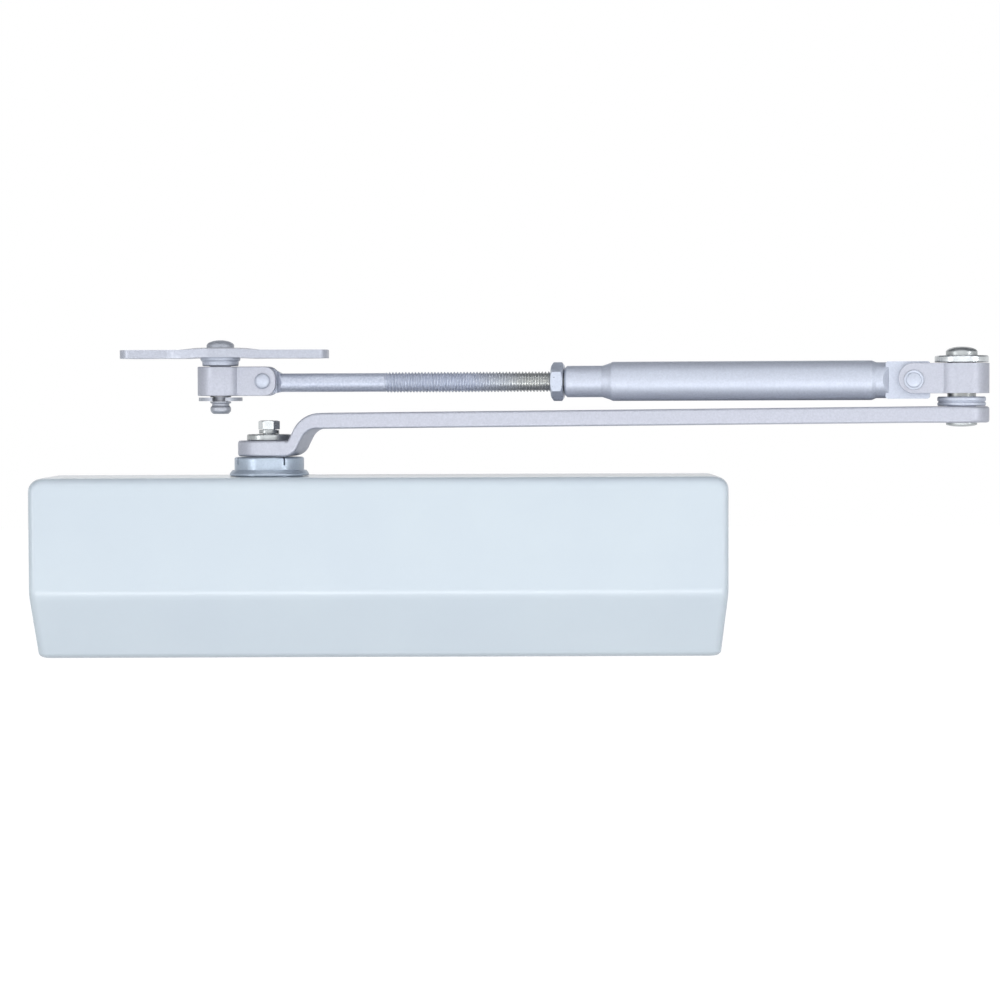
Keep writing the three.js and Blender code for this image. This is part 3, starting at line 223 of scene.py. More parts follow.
def raw(name, verts, faces, matrix=None, axis="Z"):
    """A mesh object in metres. An outline drawn about Z is turned to lie about axis."""
    matrix = (matrix or Matrix.Identity(4)) @ TURNS[axis]
    mesh = bpy.data.meshes.new(name)
    mesh.from_pydata([matrix @ Vector(v) * MM for v in verts], [], faces)
    clean = bmesh.new()
    clean.from_mesh(mesh)
    bmesh.ops.remove_doubles(clean, verts=clean.verts, dist=SAME_PLACE)
    bmesh.ops.dissolve_degenerate(clean, edges=clean.edges, dist=SAME_PLACE)
    bmesh.ops.recalc_face_normals(clean, faces=clean.faces)
    clean.to_mesh(mesh)
    clean.free()
    return placed(name, mesh)


def lathe(name, profile, sides=96, matrix=None, axis="Z"):
    """A turned piece. A profile that starts away from the axis is closed into a ring."""
    verts, faces, rows = [], [], []
    for radius, height in profile:
        if radius < ON_AXIS:
            rows.append([len(verts)] * sides)
            verts.append((0, 0, height))
            continue
        rows.append(list(range(len(verts), len(verts) + sides)))
        for k in range(sides):
            angle = 2 * pi * k / sides
            verts.append((radius * cos(angle), radius * sin(angle), height))
    pairs = list(zip(rows, rows[1:]))
    if profile[0][0] > ON_AXIS:
        pairs.append((rows[-1], rows[0]))
    for lower, upper in pairs:
        for k in range(sides):
            n = (k + 1) % sides
            face = [lower[k], lower[n], upper[n], upper[k]]
            faces.append(list(dict.fromkeys(face)))
    return raw(name, verts, [f for f in faces if len(f) > 2], matrix, axis)


def cylinder(name, radius, start, end, sides=96, matrix=None, axis="Z"):
    profile = [(0, start), (radius, start), (radius, end), (0, end)]
    return lathe(name, profile, sides, matrix, axis)


def prism(name, outline, start, end, matrix=None, axis="Z"):
    """A plate or bar with a constant outline. Along X the outline is (y, z), along Y (x, z)."""
    count = len(outline)
    if axis == "Y":
        start, end = -end, -start
    verts = [(x, y, start) for x, y in outline] + [(x, y, end) for x, y in outline]
    faces = [list(range(count)), list(range(count, 2 * count))]
    faces += [[i, (i + 1) % count, count + (i + 1) % count, count + i] for i in range(count)]
    return raw(name, verts, faces, matrix, axis)


def quads(width, height, closed=False, first=0):
    """The faces between rows of points, numbered from first."""
    faces = []
    for r in range(height - 1):
        for k in range(width if closed else width - 1):
            a, n = first + r * width, (k + 1) % width
            faces.append([a + k, a + n, a + width + n, a + width + k])
    return faces


def grid(name, rows, matrix=None, closed=False):
    """A surface through rows of points; closed joins each row's ends and caps the whole."""
    width, height = len(rows[0]), len(rows)
    faces = quads(width, height, closed)
    if closed:
        faces += [[r * width + k for k in range(width)] for r in (0, height - 1)]
    return raw(name, [p for row in rows for p in row], faces, matrix)


def baked(piece):
    """Turns a piece's modifiers into mesh."""
    graph = bpy.context.evaluated_depsgraph_get()
    mesh = bpy.data.meshes.new_from_object(piece.evaluated_get(graph))
    piece.modifiers.clear()
    piece.data = mesh
    return piece


def combined(operation, base, *tools):
    for tool in tools:
        step = base.modifiers.new("combine", "BOOLEAN")
        step.operation = operation
        step.solver = "EXACT"
        step.object = tool
        baked(base)
        bpy.data.objects.remove(tool)
    return base


def cut(base, *tools):
    return combined("DIFFERENCE", base, *tools)


def shared(base, *tools):
    return combined("INTERSECT", base, *tools)


def joined(base, *tools):
    return combined("UNION", base, *tools)


def softened(piece, width, angle=32, segments=3):
    """Rounds the edges that are sharper than angle."""
    step = piece.modifiers.new("soften", "BEVEL")
    step.width = width * MM
    step.segments = segments
    step.limit_method = "ANGLE"
    step.angle_limit = radians(angle)
    return baked(piece)


def shown(piece, nodes, material, sharp=40):
    """Shades a finished piece and lets it stand for its CAD nodes."""
    nodes = [nodes] if isinstance(nodes, str) else nodes
    piece.data.materials.clear()
    piece.data.materials.append(material)
    for face in piece.data.polygons:
        face.use_smooth = True
        face.material_index = 0
    piece.data.set_sharp_from_angle(angle=radians(sharp))
    weigh = piece.modifiers.new("weigh", "WEIGHTED_NORMAL")
    weigh.keep_sharp = True
    weigh.weight = 90
    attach(piece, NODES[nodes[0]]["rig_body"])
    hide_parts(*nodes)
    return piece


# ---------- materials

def linear(red, green, blue, lighter=0):
    """A colour written in 0-255 as the linear values that a shader takes."""
    values = [(c + lighter) / 255 for c in (red, green, blue)]
    return [c / 12.92 if c <= 0.04045 else ((c + 0.055) / 1.055) ** 2.4 for c in values] + [1.0]


def shader_node(tree, kind, inputs=(), **settings):
    """A new shader node; each input gets a value or the socket that feeds it."""
    made = tree.nodes.new("ShaderNode" + kind)
    for key, value in settings.items():
        setattr(made, key, value)
    for key, value in dict(inputs).items():
        if isinstance(value, bpy.types.NodeSocket):
            tree.links.new(value, made.inputs[key])
        else:
            made.inputs[key].default_value = value
    return made


class Surface:
    """A principled material with the few kinds of node that the finishes below need."""

    # Places of a mix node's colour sockets, which share their names with others.
    MIX_FIRST, MIX_SECOND, MIX_RESULT = 6, 7, 2

    def __init__(self, name, colour, roughness, metallic=0.0, **sockets):
        self.material = bpy.data.materials.new(name)
        self.material.use_nodes = True
        self.tree = self.material.node_tree
        self.shader = self.tree.nodes["Principled BSDF"]
        sockets.update(Base_Color=colour, Roughness=roughness, Metallic=metallic)
        for socket, value in sockets.items():
            self.shader.inputs[socket.replace("_", " ")].default_value = value
        self.place = shader_node(self.tree, "TexCoord").outputs["Object"]
        self.height = None

    def link(self, source, socket):
        self.tree.links.new(source, self.shader.inputs[socket])

    def noise(self, size, detail=2.0, roughness=0.5, scale=None):
        """Noise whose features are about size millimetres across."""
        place = self.place
        if scale:
            mapping = shader_node(self.tree, "Mapping", {"Vector": place, "Scale": scale})
            place = mapping.outputs["Vector"]
        return shader_node(self.tree, "TexNoise", {
            "Vector": place, "Scale": 1 / (size * MM), "Detail": detail, "Roughness": roughness,
        }).outputs["Fac"]

    def ranged(self, value, low_out=0.0, high_out=1.0, low_in=0.3, high_in=0.7):
        """A value mapped to a range; most of a noise lies from 0.3 to 0.7."""
        return shader_node(self.tree, "MapRange", {
            "Value": value, "From Min": low_in, "From Max": high_in, "To Min": low_out,
            "To Max": high_out}).outputs["Result"]

    def mixed(self, share, first, second):
        """Two colours, or colour sockets, mixed by a value."""
        inputs = {"Factor": share, self.MIX_FIRST: first, self.MIX_SECOND: second}
        return shader_node(self.tree, "Mix", inputs, data_type="RGBA").outputs[self.MIX_RESULT]

    def colour(self, share, first, second):
        self.link(self.mixed(share, first, second), "Base Color")

    def rough(self, value, *ranges):
        self.link(self.ranged(value, *ranges), "Roughness")

    def bump(self, height, distance):
        inputs = {"Height": height, "Distance": distance * MM}
        if self.height:
            inputs["Normal"] = self.height
        self.height = shader_node(self.tree, "Bump", inputs).outputs["Normal"]
        self.link(self.height, "Normal")


def cover_plastic():
    """Pale painted plastic under a thin satin coat."""
    made = Surface("cover_plastic", linear(199, 210, 218), 0.34, 0.0, Specular_IOR_Level=0.2,
                   Coat_Weight=0.65, Coat_Roughness=0.2)
    broad = made.ranged(made.noise(38, 3))
    made.colour(broad, linear(197, 208, 217), linear(200, 211, 219))
    made.rough(made.noise(0.8, 2), 0.33, 0.40)
    made.bump(made.noise(0.35, 2), 0.003)
    return made.material


def arm_paint(name="arm_paint", tone=(176, 179, 190), peel=0.02, roughness=0.48):
    """Finely mottled silver paint with an orange peel that is peel millimetres high."""
    made = Surface(name, linear(*tone), roughness, 0.5, Specular_IOR_Level=0.4)
    fine = made.ranged(made.noise(0.7, 3, 0.6), 0, 1, 0.32, 0.68)
    made.colour(fine, linear(*tone, -7), linear(*tone, 5))
    made.rough(made.noise(1.4, 2), roughness - 0.07, roughness + 0.08)
    made.bump(made.noise(1.1, 2), peel)
    made.bump(made.noise(0.3, 1), peel * 0.25)
    return made.material


def zinc(name="zinc_plate", tone=(196, 200, 202), roughness=0.3):
    made = Surface(name, linear(*tone), roughness, 1.0)
    made.colour(made.ranged(made.noise(3.5, 3)), linear(*tone, -12), linear(*tone, 8))
    made.rough(made.noise(1.2, 3, 0.6), roughness - 0.08, roughness + 0.1)
    made.bump(made.noise(0.25, 2), 0.004)
    return made.material


def threaded_rod():
    """Painted at the shoe's end, wearing to bare zinc where the nut and tube have run."""
    made = Surface("threaded_rod", linear(176, 183, 198), 0.4, 0.5)
    worn_from, ragged_by, fade = 100, 6, 22
    edge = ON_FOREARM @ Vector((worn_from, 0, 0)) * MM
    along = shader_node(made.tree, "SeparateXYZ", {"Vector": made.place}).outputs["X"]
    inputs = {0: made.noise(1.5, 3), 1: ragged_by * MM, 2: along}
    ragged = shader_node(made.tree, "Math", inputs, operation="MULTIPLY_ADD")
    bare = made.ranged(ragged.outputs[0], 0, 1, edge.x, edge.x + fade * MM)
    speckle = made.ranged(made.noise(0.8, 3), 0, 1, 0.35, 0.65)
    painted = made.mixed(speckle, linear(168, 175, 192), linear(188, 194, 208))
    worn = made.mixed(speckle, linear(168, 171, 172), linear(190, 191, 188))
    made.colour(bare, painted, worn)
    made.link(made.ranged(bare, 0.4, 0.8, 0, 1), "Metallic")
    made.rough(bare, 0.42, 0.25, 0, 1)
    made.bump(made.noise(0.5, 2), 0.02)
    return made.material


def machined(name, tone, roughness, grain=(1, 1, 1)):
    made = Surface(name, linear(*tone), roughness, 1.0)
    lines = made.noise(0.6, 3, 0.6, grain)
    made.rough(lines, roughness - 0.07, roughness + 0.1)
    made.colour(made.ranged(made.noise(6, 3)), linear(*tone, -14), linear(*tone, 6))
    made.bump(lines, 0.004)
    return made.material


def cast_aluminium():
    made = Surface("cast_aluminium", linear(176, 178, 180), 0.5, 0.85)
    grain = made.noise(0.7, 4, 0.6)
    made.colour(made.ranged(made.noise(4, 4)), linear(160, 163, 166), linear(186, 188, 189))
    made.rough(grain, 0.42, 0.62)
    made.bump(grain, 0.06)
    return made.material


def rubber():
    made = Surface("seal_rubber", linear(30, 30, 31), 0.6)
    made.rough(made.noise(0.6, 2), 0.5, 0.7)
    made.bump(made.noise(0.3, 2), 0.01)
    return made.material


COVER = cover_plastic()
PAINT = arm_paint()
SMOOTH_PAINT = arm_paint("smooth_paint", (184, 190, 203), 0.006, 0.5)
CAP_PAINT = arm_paint("cap_paint", (168, 180, 194), 0.006, 0.36)
ZINC = zinc()
DULL_ZINC = zinc("dull_zinc", (168, 172, 173), 0.36)
RING_PAINT = arm_paint("ring_paint", (166, 170, 179), 0.006, 0.45)
ROD = threaded_rod()
CAST = cast_aluminium()
STEEL = machined("machined_steel", (158, 161, 164), 0.32, (6, 1, 1))
BRONZE = machined("bearing_bronze", (176, 136, 82), 0.42)
SPRING = machined("spring_steel", (70, 74, 80), 0.34)
RUBBER = rubber()
NUT_PAINT = arm_paint("nut_paint", (184, 191, 205), 0.015, 0.34)
SHOE_PAINT = arm_paint("shoe_paint", (171, 175, 186), 0.015, 0.42)


# ---------- cover

EDGE_RADIUS = 5.0  # along the top
CORNER_RADIUS = 3.2  # of the upright corners
FOOT_RADIUS = 2.3
SHARPEST = 0.3  # radius that stays at the hollow's foot
TAPER_HEIGHT = 24.5
FRONT_LEAN = radians(20)
END_LEAN = radians(5.5)
CREASE_RADIUS = 14.0
COVER_WALL = 2.0
FOOT_STEPS = 8
BEND_STEPS = 12
CAP_RADIUS = 12.9  # of the bearing cap where it goes through the cover
SLOT_RUN = 0.3


def cover_levels(inset, bottom, top):
    """Heights of the cover, each with how far its front and its ends draw in."""
    bend = CREASE_RADIUS * tan(FRONT_LEAN / 2)
    share = tan(END_LEAN) / tan(FRONT_LEAN)
    crease = bottom + TAPER_HEIGHT
    bottom, top = bottom + inset, top - inset
    foot = max(FOOT_RADIUS - inset, SHARPEST)
    edge = EDGE_RADIUS - inset
    levels = []
    for i in range(FOOT_STEPS):
        angle = pi / 2 * i / FOOT_STEPS
        z = bottom + foot * (1 - cos(angle))
        drawn = foot * (1 - sin(angle))
        lean = (crease - z) * tan(FRONT_LEAN)
        levels.append((z, lean + drawn, lean * share + drawn))
    for i in range(BEND_STEPS + 1):
        angle = FRONT_LEAN * (1 - i / BEND_STEPS)
        z = crease + bend - CREASE_RADIUS * sin(angle)
        lean = CREASE_RADIUS * (1 - cos(angle))
        levels.append((z, lean, lean * share))
    for i in range(BEND_STEPS + 1):
        angle = pi / 2 * i / BEND_STEPS
        drawn = edge * (1 - cos(angle))
        levels.append((top - edge + edge * sin(angle), drawn, drawn))
    return levels


def cover_rows(inset, back):
    """Rows of points over the cover's front, or over its hollow when inset."""
    lo, hi = extent("cover")
    middle = (lo.x + hi.x) / 2
    half = (hi.x - lo.x) / 2 - inset
    front = lo.y + inset
    corner = CORNER_RADIUS - inset
    outline = [(-half, back)]
    outline += arc(-half + corner, front + corner, corner, 180, 270, 9)
    outline += arc(half - corner, front + corner, corner, 270, 360, 9)
    outline += [(half, back)]
    rows = []
    for z, drawn, end in cover_levels(inset, lo.z, hi.z):
        rows.append([(middle + x * (1 - end / half),
                      back + (y - back) * (1 + drawn / (front - back)), z) for x, y in outline])
    return rows


def cover_shell():
    """Front, ends, top and foot with their hollow inside, and the slot for the bearing cap."""
    back = high("cover").y
    outer, inner = cover_rows(0, back), cover_rows(COVER_WALL, back)
    width, height = len(outer[0]), len(outer)
    verts = [p for rows in (outer, inner) for row in rows for p in row]
    faces = []
    for side in (0, height * width):
        faces += quads(width, height, first=side)
        faces += [[side + r * width + k for k in range(width)] for r in (0, height - 1)]
    for r in range(height - 1):
        for k in (0, width - 1):
            a = r * width + k
            b = a + height * width
            faces.append([a, a + width, b + width, b])
    for r in (0, height - 1):
        a, b = r * width, r * width + width - 1
        faces.append([a, b, b + height * width, a + height * width])
    shell = raw("cover_shell", verts, faces)

    radius = CAP_RADIUS + SLOT_RUN
    mouth = -SPINDLE.y + PAST
    outline = [(radius, mouth)] + arc(0, 0, radius, 0, -180, 4) + [(-radius, mouth)]
    shell = cut(shell, prism("slot", outline, 0, high("cover").z + PAST, ON_SPINDLE))
    shown(shell, "cover", COVER, 50)


# ---------- body behind the cover

BODY_HALF = 112.0  # half the barrel's length
BODY_DEPTH = 46.5
BODY_RISE = 26.0  # half its height
BODY_CORNER = 14.0
LUG_RISE = 25.0
LUG_DEPTH = 7.0
LUG_CORNER = 5.0
BOSS_RADIUS = 16.2
BORE_RADIUS = 18.0
SEAT_RADIUS = 13.2  # for the bearings and their caps
SEAT_END = 34.0
SCREW_INSET, SCREW_RISE, SCREW_RADIUS = 5.8, 19.0, 2.75
VALVE_DEPTH, VALVE_RISE = 39.5, 18.0
VALVE_RADIUS, VALVE_HOLE = 2.8, 14.0


def casting():
    lo, hi = extent("body_casting")
    reach, end = hi.x, BODY_HALF + PAST
    section = filleted([(0, -BODY_RISE), (0, BODY_RISE), (-BODY_DEPTH, BODY_RISE, BODY_CORNER),
                        (-BODY_DEPTH, -BODY_RISE, BODY_CORNER)], True, 6)
    barrel = prism("body_casting_detail", section, -BODY_HALF, BODY_HALF, axis="X")
    plan = rectangle(-reach, -LUG_RISE, reach, LUG_RISE, LUG_CORNER)
    lugs = prism("lugs", plan, -LUG_DEPTH, 0, axis="Y")
    boss = cylinder("boss", BOSS_RADIUS, lo.z, hi.z, matrix=ON_SPINDLE)
    whole = joined(barrel, lugs, boss)
    tools = [cylinder("bore", BORE_RADIUS, -end, end, 96, moved(0, SPINDLE.y, 0), "X")]
    for sign in (1, -1):
        tools.append(cylinder("cap_hole", SEAT_RADIUS, sign * BORE_RADIUS, sign * SEAT_END,
                              matrix=ON_SPINDLE))
    for x in (SCREW_INSET - reach, reach - SCREW_INSET):
        for z in (-SCREW_RISE, SCREW_RISE):
            tools.append(cylinder("screw_hole", SCREW_RADIUS, -LUG_DEPTH - PAST, PAST, 32,
                                  moved(x, 0, z), "Y"))
    for z in (-VALVE_RISE, VALVE_RISE):
        tools.append(cylinder("valve_hole", VALVE_RADIUS, -end, VALVE_HOLE - BODY_HALF, 32,
                              moved(0, -VALVE_DEPTH, z), "X"))
    shown(softened(cut(whole, *tools), 0.6), "body_casting", CAST)


PLUG_KEY = 10.0  # the hexagon socket's width across its flats
SOCKET_DEPTH = 3.5
CAP_SOCKET_DEPTH = 2.6
VALVE_CHAMFER, VALVE_POINT = 0.4, 4.0
VALVE_SLIT, VALVE_SLIT_DEPTH = 0.9, 1.2


def socket_plug(name, profile, axis, matrix, mouth, depth):
    """A turned plug with a hexagon socket from mouth inwards."""
    body = lathe(name + "_detail", profile, 96, matrix, axis)
    socket = prism("socket", ngon(6, PLUG_KEY / sqrt(3)), mouth, depth, matrix, axis)
    shown(softened(cut(body, socket), 0.25), name, STEEL)


def end_plug(name, side):
    lo, hi = extent(name)
    face = lo.x if side < 0 else hi.x
    place = moved(0, SPINDLE.y, 0)
    radius = (hi.z - lo.z) / 2
    profile = [(0, lo.x), (radius, lo.x), (radius, hi.x), (0, hi.x)]
    socket_plug(name, profile, "X", place, face + side * PAST, face - side * SOCKET_DEPTH)


def lower_cap():
    lo, hi = extent("lower_bearing_cap")
    radius = (hi.x - lo.x) / 2
    profile = [(0, lo.z), (radius, lo.z), (radius, hi.z), (0, hi.z - 0.5)]
    socket_plug("lower_bearing_cap", profile, "Z", ON_SPINDLE, lo.z - PAST, lo.z + CAP_SOCKET_DEPTH)


def valve(name):
    lo, hi = extent(name)
    middle = (lo + hi) / 2
    place = moved(0, middle.y, middle.z)
    radius = (hi.z - lo.z) / 2
    body = lathe(name + "_detail", [
        (0, lo.x), (radius - VALVE_CHAMFER, lo.x), (radius, lo.x + VALVE_CHAMFER),
        (radius, hi.x - VALVE_POINT), (0, hi.x)], 48, place, "X")
    slit = rectangle(-radius - PAST, -VALVE_SLIT / 2, radius + PAST, VALVE_SLIT / 2)
    slot = prism("slot", slit, lo.x - PAST, lo.x + VALVE_SLIT_DEPTH, place, "X")
    shown(softened(cut(body, slot), 0.1), name, STEEL)


SPRING_TURNS = 12
SPRING_WIRE = 2.3  # the wire's radius
TURN_STEPS = 48
WIRE_SIDES = 16


def closing_spring():
    """A coil in the barrel, between the piston and the right end plug."""
    lo, hi = extent("closing_spring")
    radius = (hi.z - lo.z) / 2 - SPRING_WIRE
    start, end = lo.x + SPRING_WIRE, hi.x - SPRING_WIRE
    steps = TURN_STEPS * SPRING_TURNS
    climb = (end - start) / (2 * pi * SPRING_TURNS)
    rows = []
    for i in range(steps + 1):
        angle = 2 * pi * SPRING_TURNS * i / steps
        out = Vector((0, cos(angle), sin(angle)))
        along = Vector((climb, -radius * sin(angle), radius * cos(angle))).normalized()
        centre = Vector((start + (end - start) * i / steps, SPINDLE.y, 0)) + out * radius
        rows.append([centre + SPRING_WIRE * (cos(a) * out + sin(a) * along.cross(out))
                     for a in (2 * pi * k / WIRE_SIDES for k in range(WIRE_SIDES))])
    coil = grid("closing_spring_detail", rows, closed=True)
    shown(coil, "closing_spring", SPRING, 60)
    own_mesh(coil)


# ---------- collar

COLLAR_RADIUS = 13.35
COLLAR_BORE = 7.2
COLLAR_LIFT = 0.3  # of its flange over the cover
FLANGE_HEIGHT = 2.1
SPANNER_SLOTS = 4
SLOT_FIRST = 30  # degrees from the closer's front
SLOT_HALF, SLOT_FLOOR, SLOT_DEPTH = 0.35, 11.1, 2.9


def collar():
    lo, hi = extent("upper_bearing_cap")
    flange = (hi.x - lo.x) / 2
    top, foot = hi.z, high("cover").z + COLLAR_LIFT
    ledge = foot + FLANGE_HEIGHT
    body = lathe("collar", filleted([
        (COLLAR_BORE, lo.z), (CAP_RADIUS, lo.z), (CAP_RADIUS, foot), (flange, foot, 0.3),
        (flange, foot + 0.8, 0.5), (flange - 1.0, ledge, 0.4), (COLLAR_RADIUS, ledge, 0.25),
        (COLLAR_RADIUS, top, 0.8), (COLLAR_BORE, top)]), 144, ON_SPINDLE)
    tools = []
    slot = rectangle(-SLOT_HALF, -COLLAR_RADIUS - PAST, SLOT_HALF, -SLOT_FLOOR)
    for k in range(SPANNER_SLOTS):
        turn = turned(SLOT_FIRST + 360 / SPANNER_SLOTS * k)
        tools.append(prism("spanner_slot", slot, top - SLOT_DEPTH, top + PAST, ON_SPINDLE @ turn))
    shown(softened(cut(body, *tools), 0.12, 45, 2), "upper_bearing_cap", CAP_PAINT)


# ---------- main arm

ARM_THICKNESS = 6.05
CRANK_THICKNESS = 4.4
ARM_RISE = 10.55
ARM_CLIMB = 1.75
CRANK_START = 8.4
CRANK_ANGLE = radians(63)
LOWER_BEND = 3.55
UPPER_BEND = 8.95
FLAT_END = 16.0
HUB_RADIUS = 11.95
HUB_NECK = 11.7
ELBOW_RADIUS = 10.2
ARM_EDGE = 1.0
EDGE_ANGLES = [radians(a) for a in range(0, 91, 9)]
HUB_REACH = sqrt(HUB_RADIUS ** 2 - HUB_NECK ** 2)  # to where the bar's side begins
END_BLEND = 2.0  # on each side of where the climb ends
LOWER_STEPS, UPPER_STEPS, CLIMB_STEPS, END_STEPS = 12, 14, 24, 16
CROWDING = 1.6  # how much closer together the end's stations get near its edge
SQUARE_HALF = 4.9  # of the spindle's square hole
PIN_HOLE = 5.42


def arm_line():
    """Stations of the arm's middle line: how far along, how far up, and the slope there."""
    bends = LOWER_BEND + UPPER_BEND
    straight = (ARM_RISE - bends * (1 - cos(CRANK_ANGLE))) / sin(CRANK_ANGLE)
    run = bends * sin(CRANK_ANGLE) + straight * cos(CRANK_ANGLE)
    level = ARM_LENGTH - FLAT_END
    climb = atan(ARM_CLIMB / (level - CRANK_START - run))
    stations = [(x, 0.0, 0.0) for x in end_steps(-HUB_RADIUS, CRANK_START)]
    for i in range(LOWER_STEPS + 1):
        a = CRANK_ANGLE * i / LOWER_STEPS
        stations.append((CRANK_START + LOWER_BEND * sin(a), LOWER_BEND * (1 - cos(a)), a))
    for i in range(UPPER_STEPS + 1):
        a = CRANK_ANGLE - (CRANK_ANGLE - climb) * i / UPPER_STEPS
        x = CRANK_START + run - UPPER_BEND * sin(a)
        stations.append((x, ARM_RISE - UPPER_BEND * (1 - cos(a)), a))
    start = stations[-1][0]
    for i in range(1, CLIMB_STEPS + 1):
        x = start + (level - END_BLEND - start) * i / CLIMB_STEPS
        stations.append((x, ARM_RISE + (x - start) * tan(climb), climb))
    for x in reversed(end_steps(-ARM_LENGTH - ELBOW_RADIUS, -level - END_BLEND)):
        stations.append((-x, ARM_RISE + ARM_CLIMB, 0.0))
    return stations


def end_steps(start, end):
    """Places along the arm from a round end inwards, closest over its rounded edge."""
    edge = [start + ARM_EDGE * (1 - cos(a)) for a in EDGE_ANGLES]
    shares = [(i / END_STEPS) ** CROWDING for i in range(1, END_STEPS + 1)]
    return edge + [edge[-1] + (end - edge[-1]) * share for share in shares]


def arm_half_width(x):
    """Half the width of the arm's outline: round hub, tapering bar, round elbow."""
    if x < HUB_REACH:
        return sqrt(max(HUB_RADIUS ** 2 - x * x, 0))
    if x > ARM_LENGTH:
        return sqrt(max(ELBOW_RADIUS ** 2 - (x - ARM_LENGTH) ** 2, 0))
    return HUB_NECK + (ELBOW_RADIUS - HUB_NECK) * (x - HUB_REACH) / (ARM_LENGTH - HUB_REACH)


def arm_inset(x, y):
    """How far a point lies inside the arm's outline."""
    if x < HUB_REACH:
        return HUB_RADIUS - hypot(x, y)
    if x > ARM_LENGTH:
        return ELBOW_RADIUS - hypot(x - ARM_LENGTH, y)
    return arm_half_width(x) - abs(y)


def main_arm():
    """One bar with rounded edges, drawn thinner over its crank, with its two holes."""
    middle = low("main_arm").z + ARM_THICKNESS / 2
    rows = []
    for x, z, slope in arm_line():
        drawn_out = (ARM_THICKNESS - CRANK_THICKNESS) * slope / CRANK_ANGLE
        rise = (ARM_THICKNESS - drawn_out) / 2
        half = arm_half_width(x)
        edge = min(ARM_EDGE, half)
        across = [half - edge * (1 - cos(a)) for a in EDGE_ANGLES]
        across += [(half - edge) * (1 - i / 5) for i in range(1, 6)]
        across += [-y for y in reversed(across[:-1])]
        row = []
        for sign, ys in ((1, across), (-1, across[::-1])):
            for y in ys:
                inset = min(max(arm_inset(x, y), 0), ARM_EDGE)
                height = rise - ARM_EDGE + sqrt(ARM_EDGE ** 2 - (ARM_EDGE - inset) ** 2)
                up = sign * height
                row.append((x - up * sin(slope), y, middle + z + up * cos(slope)))
        rows.append(row)
    bar = grid("main_arm_detail", rows, ON_ARM, closed=True)
    outline = rectangle(-SQUARE_HALF, -SQUARE_HALF, SQUARE_HALF, SQUARE_HALF, 1)
    square = prism("square", outline, middle - 5, middle + 5, ON_ARM)
    hole = cylinder("hole", PIN_HOLE, middle + 5, middle + 20, 64, ON_ELBOW)
    shown(cut(bar, square, hole), "main_arm", PAINT, 60)


# ---------- screw on the spindle

WASHER_BORE = 2.6
LOOP_BORE, LOOP_RADIUS = 2.62, 3.9  # of the spring washer
LOOP_START, LOOP_SWEEP = -24, 348  # degrees; the rest is its gap
LOOP_LIFT = 0.22  # from one end of it to the other
LOOP_STEPS = 90
HEAD_FLATS = 7.15  # across the screw's head
HEAD_TURN = 7  # degrees
SHANK_RADIUS = 2.4


def washer(node, bore, lower, upper, finish, matrix):
    """A flat ring whose outer edges are rounded by lower and upper."""
    lo, hi = extent(node)
    radius = (hi.x - lo.x) / 2
    ring = lathe(node + "_detail", filleted([
        (bore, lo.z), (radius, lo.z, lower), (radius, hi.z, upper), (bore, hi.z)]), 96, matrix)
    shown(ring, node, finish)


def spindle_screw():
    washer("arm_washer", WASHER_BORE, 0.25, 0.6, DULL_ZINC, ON_SPINDLE)

    lo, hi = extent("arm_spring_washer")
    section = rectangle(LOOP_BORE, lo.z + LOOP_LIFT / 2, LOOP_RADIUS, hi.z - LOOP_LIFT / 2, 0.18)
    rows = []
    for i in range(LOOP_STEPS + 1):
        angle = radians(LOOP_START + LOOP_SWEEP * i / LOOP_STEPS)
        lift = LOOP_LIFT * (i / LOOP_STEPS - 0.5)
        rows.append([(r * cos(angle), r * sin(angle), z + lift) for r, z in section])
    coil = grid("arm_spring_washer_detail", rows, ON_SPINDLE, closed=True)
    shown(coil, "arm_spring_washer", DULL_ZINC)

    bottom, top = hi.z + GAP, high("arm_bolt").z
    head = prism("arm_bolt_detail", ngon(6, HEAD_FLATS / sqrt(3)), bottom, top,
                 ON_ARM @ turned(HEAD_TURN))
    trim = lathe("trim", [(0, bottom - PAST), (6, bottom - PAST), (6, top - 1.4),
                          (HEAD_FLATS / 2 - 0.25, top), (0, top)], 96, ON_ARM)
    shank = cylinder("shank", SHANK_RADIUS, low("arm_bolt").z, bottom + PAST, 48, ON_ARM)
    bolt = softened(joined(shared(head, trim), shank), 0.18)
    shown(bolt, "arm_bolt", ZINC)


# ---------- elbow

PIN_RADIUS = 5.3
FOOT_DOME, CAP_DOME = 5.75, 5.85


def elbow_pin():
    lo, hi = extent("elbow_pin")
    arm_bottom = high("main_arm").z - ARM_THICKNESS - GAP
    head = high("elbow_washer").z + GAP
    foot = [(r, arm_bottom - z) for r, z in dome(FOOT_DOME, arm_bottom - lo.z, 0, 0.5)]
    cap = dome(CAP_DOME, hi.z - head, head, 1.2)
    profile = foot[::-1] + [(PIN_RADIUS, arm_bottom), (PIN_RADIUS, head)] + cap
    pin = lathe("elbow_pin_detail", profile, 96, ON_ELBOW)
    shown(pin, "elbow_pin", DULL_ZINC)


